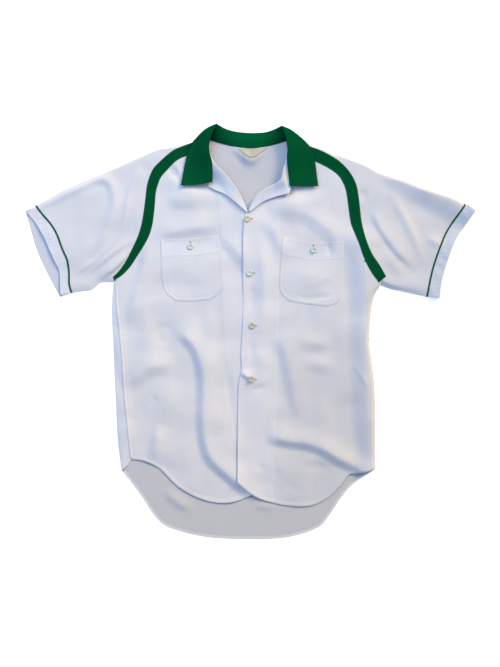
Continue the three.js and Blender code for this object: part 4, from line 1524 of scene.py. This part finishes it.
def lay(surface, path, height, lift, radius, sides=6):
    """A length of thread along a plan path, lifted off the cloth."""
    path = np.array(path)
    capsule(surface, np.column_stack([path, height(path) + lift]), radius, sides)


def add_buttonholes():
    """Corded buttonholes, worked in close zigzag on both sides of a slit, running out from each button. A
    dark thread in each slit is painted shade.
    """
    half, start = BUTTONHOLE["width"] / 2, BUTTONHOLE["start"]
    end = start + BUTTONHOLE["length"]
    for button in BUTTONS:
        height = cloth_under(button)
        turn = 0.0 if button.cloth.startswith("front") else math.pi / 2
        along = np.array([math.cos(turn), math.sin(turn)])
        across = np.array([-along[1], along[0]])
        origin = np.array([button.x, button.y])
        edging, slit = Surface(), Surface()
        for side in (-1, 1):
            for reach in np.arange(start, end, BUTTONHOLE["pitch"]):
                inner = origin + along * reach + across * side * 0.25
                outer = origin + along * reach + across * side * half
                lay(edging, [inner, (inner + outer) / 2, outer], height, [0.1, 0.32, 0.08], 0.26, 5)
        for reach in (start - 0.2, end):
            bar = [origin + along * reach + across * t * half for t in np.linspace(-1, 1, 4)]
            lay(edging, bar, height, 0.25, 0.4)
        name = button.node.replace("button", "buttonhole")
        make(edging, name + "_thread", "white_thread")
        # painted shade: a dark thread along the slit stands in for the shade inside the cut
        lay(slit, [origin + along * t for t in np.linspace(start, end, 8)], height, 0.05, 0.22)
        make(slit, name + "_slit", "shade")


def add_collar_loop():
    """The thread loop beside the left lapel's tip."""
    line = spline(COLLAR_LOOP, 0.8)
    path = np.column_stack([line, left_front_top(line) + 1.0])
    tube("collar_loop_thread", path, 1.3, 1.1, "white_thread", ["collar_loop"], sides=8)


# ---------------------------------------------------------------- studio
FLOOR = {"size": 8, "glow": 0.35, "tones": ((0.97, 0.97, 0.97), (0.985, 0.985, 0.985))}
KEY = {"from": (0.59, 0.635, 0.50), "angle": math.radians(24), "strength": 3.3, "colour": (1.0, 0.72, 0.28)}
FILL = {"place": (-0.5, 1.0, 1.2), "size": 1.6, "energy": 16.5, "colour": (0.57, 0.725, 1.0)}
SKY = {"colour": (0.56, 0.73, 1.0), "strength": 0.55}


def add_floor():
    bpy.ops.mesh.primitive_plane_add(size=FLOOR["size"], location=(0, 0, 0))
    floor = bpy.context.object
    floor.name = "floor"
    made, tree, shader = material("paper")
    grain = spread(tree, noise(tree, 14.0), 0.0, 1.0)
    link(tree, mix(tree, grain, *FLOOR["tones"]), shader.inputs["Base Color"])
    put(shader, {"Roughness": 0.9, "Emission Color": (1, 1, 1, 1), "Emission Strength": FLOOR["glow"]})
    floor.data.materials.append(made)


def add_lamp(name, kind, place, **values):
    """A lamp that shines on the middle of the garment."""
    data = bpy.data.lights.new(name, kind)
    for key, value in values.items():
        setattr(data, key, value)
    lamp = bpy.data.objects.new(name, data)
    lamp.location = place
    lamp.rotation_euler = (-lamp.location).to_track_quat("-Z", "Y").to_euler()
    bpy.context.collection.objects.link(lamp)


def add_light():
    add_lamp("key", "SUN", KEY["from"], angle=KEY["angle"], energy=KEY["strength"], color=KEY["colour"])
    shape = {"shape": "DISK", "size": FILL["size"]}
    add_lamp("fill", "AREA", FILL["place"], **shape, energy=FILL["energy"], color=FILL["colour"])
    world = bpy.data.worlds.new("studio")
    world.use_nodes = True
    put(world.node_tree.nodes["Background"], {"Color": (*SKY["colour"], 1), "Strength": SKY["strength"]})
    bpy.context.scene.world = world
    bpy.context.scene.view_settings.view_transform = "Standard"


add_floor()
add_light()
add_back()
add_fronts()
add_sleeves()
add_cuffs()
add_piping()
add_bands()
add_lapels()
add_pockets()
add_collar()
add_label()
add_side_seam()
add_hem_stitches()
add_buttonholes()
add_buttons()
add_collar_loop()
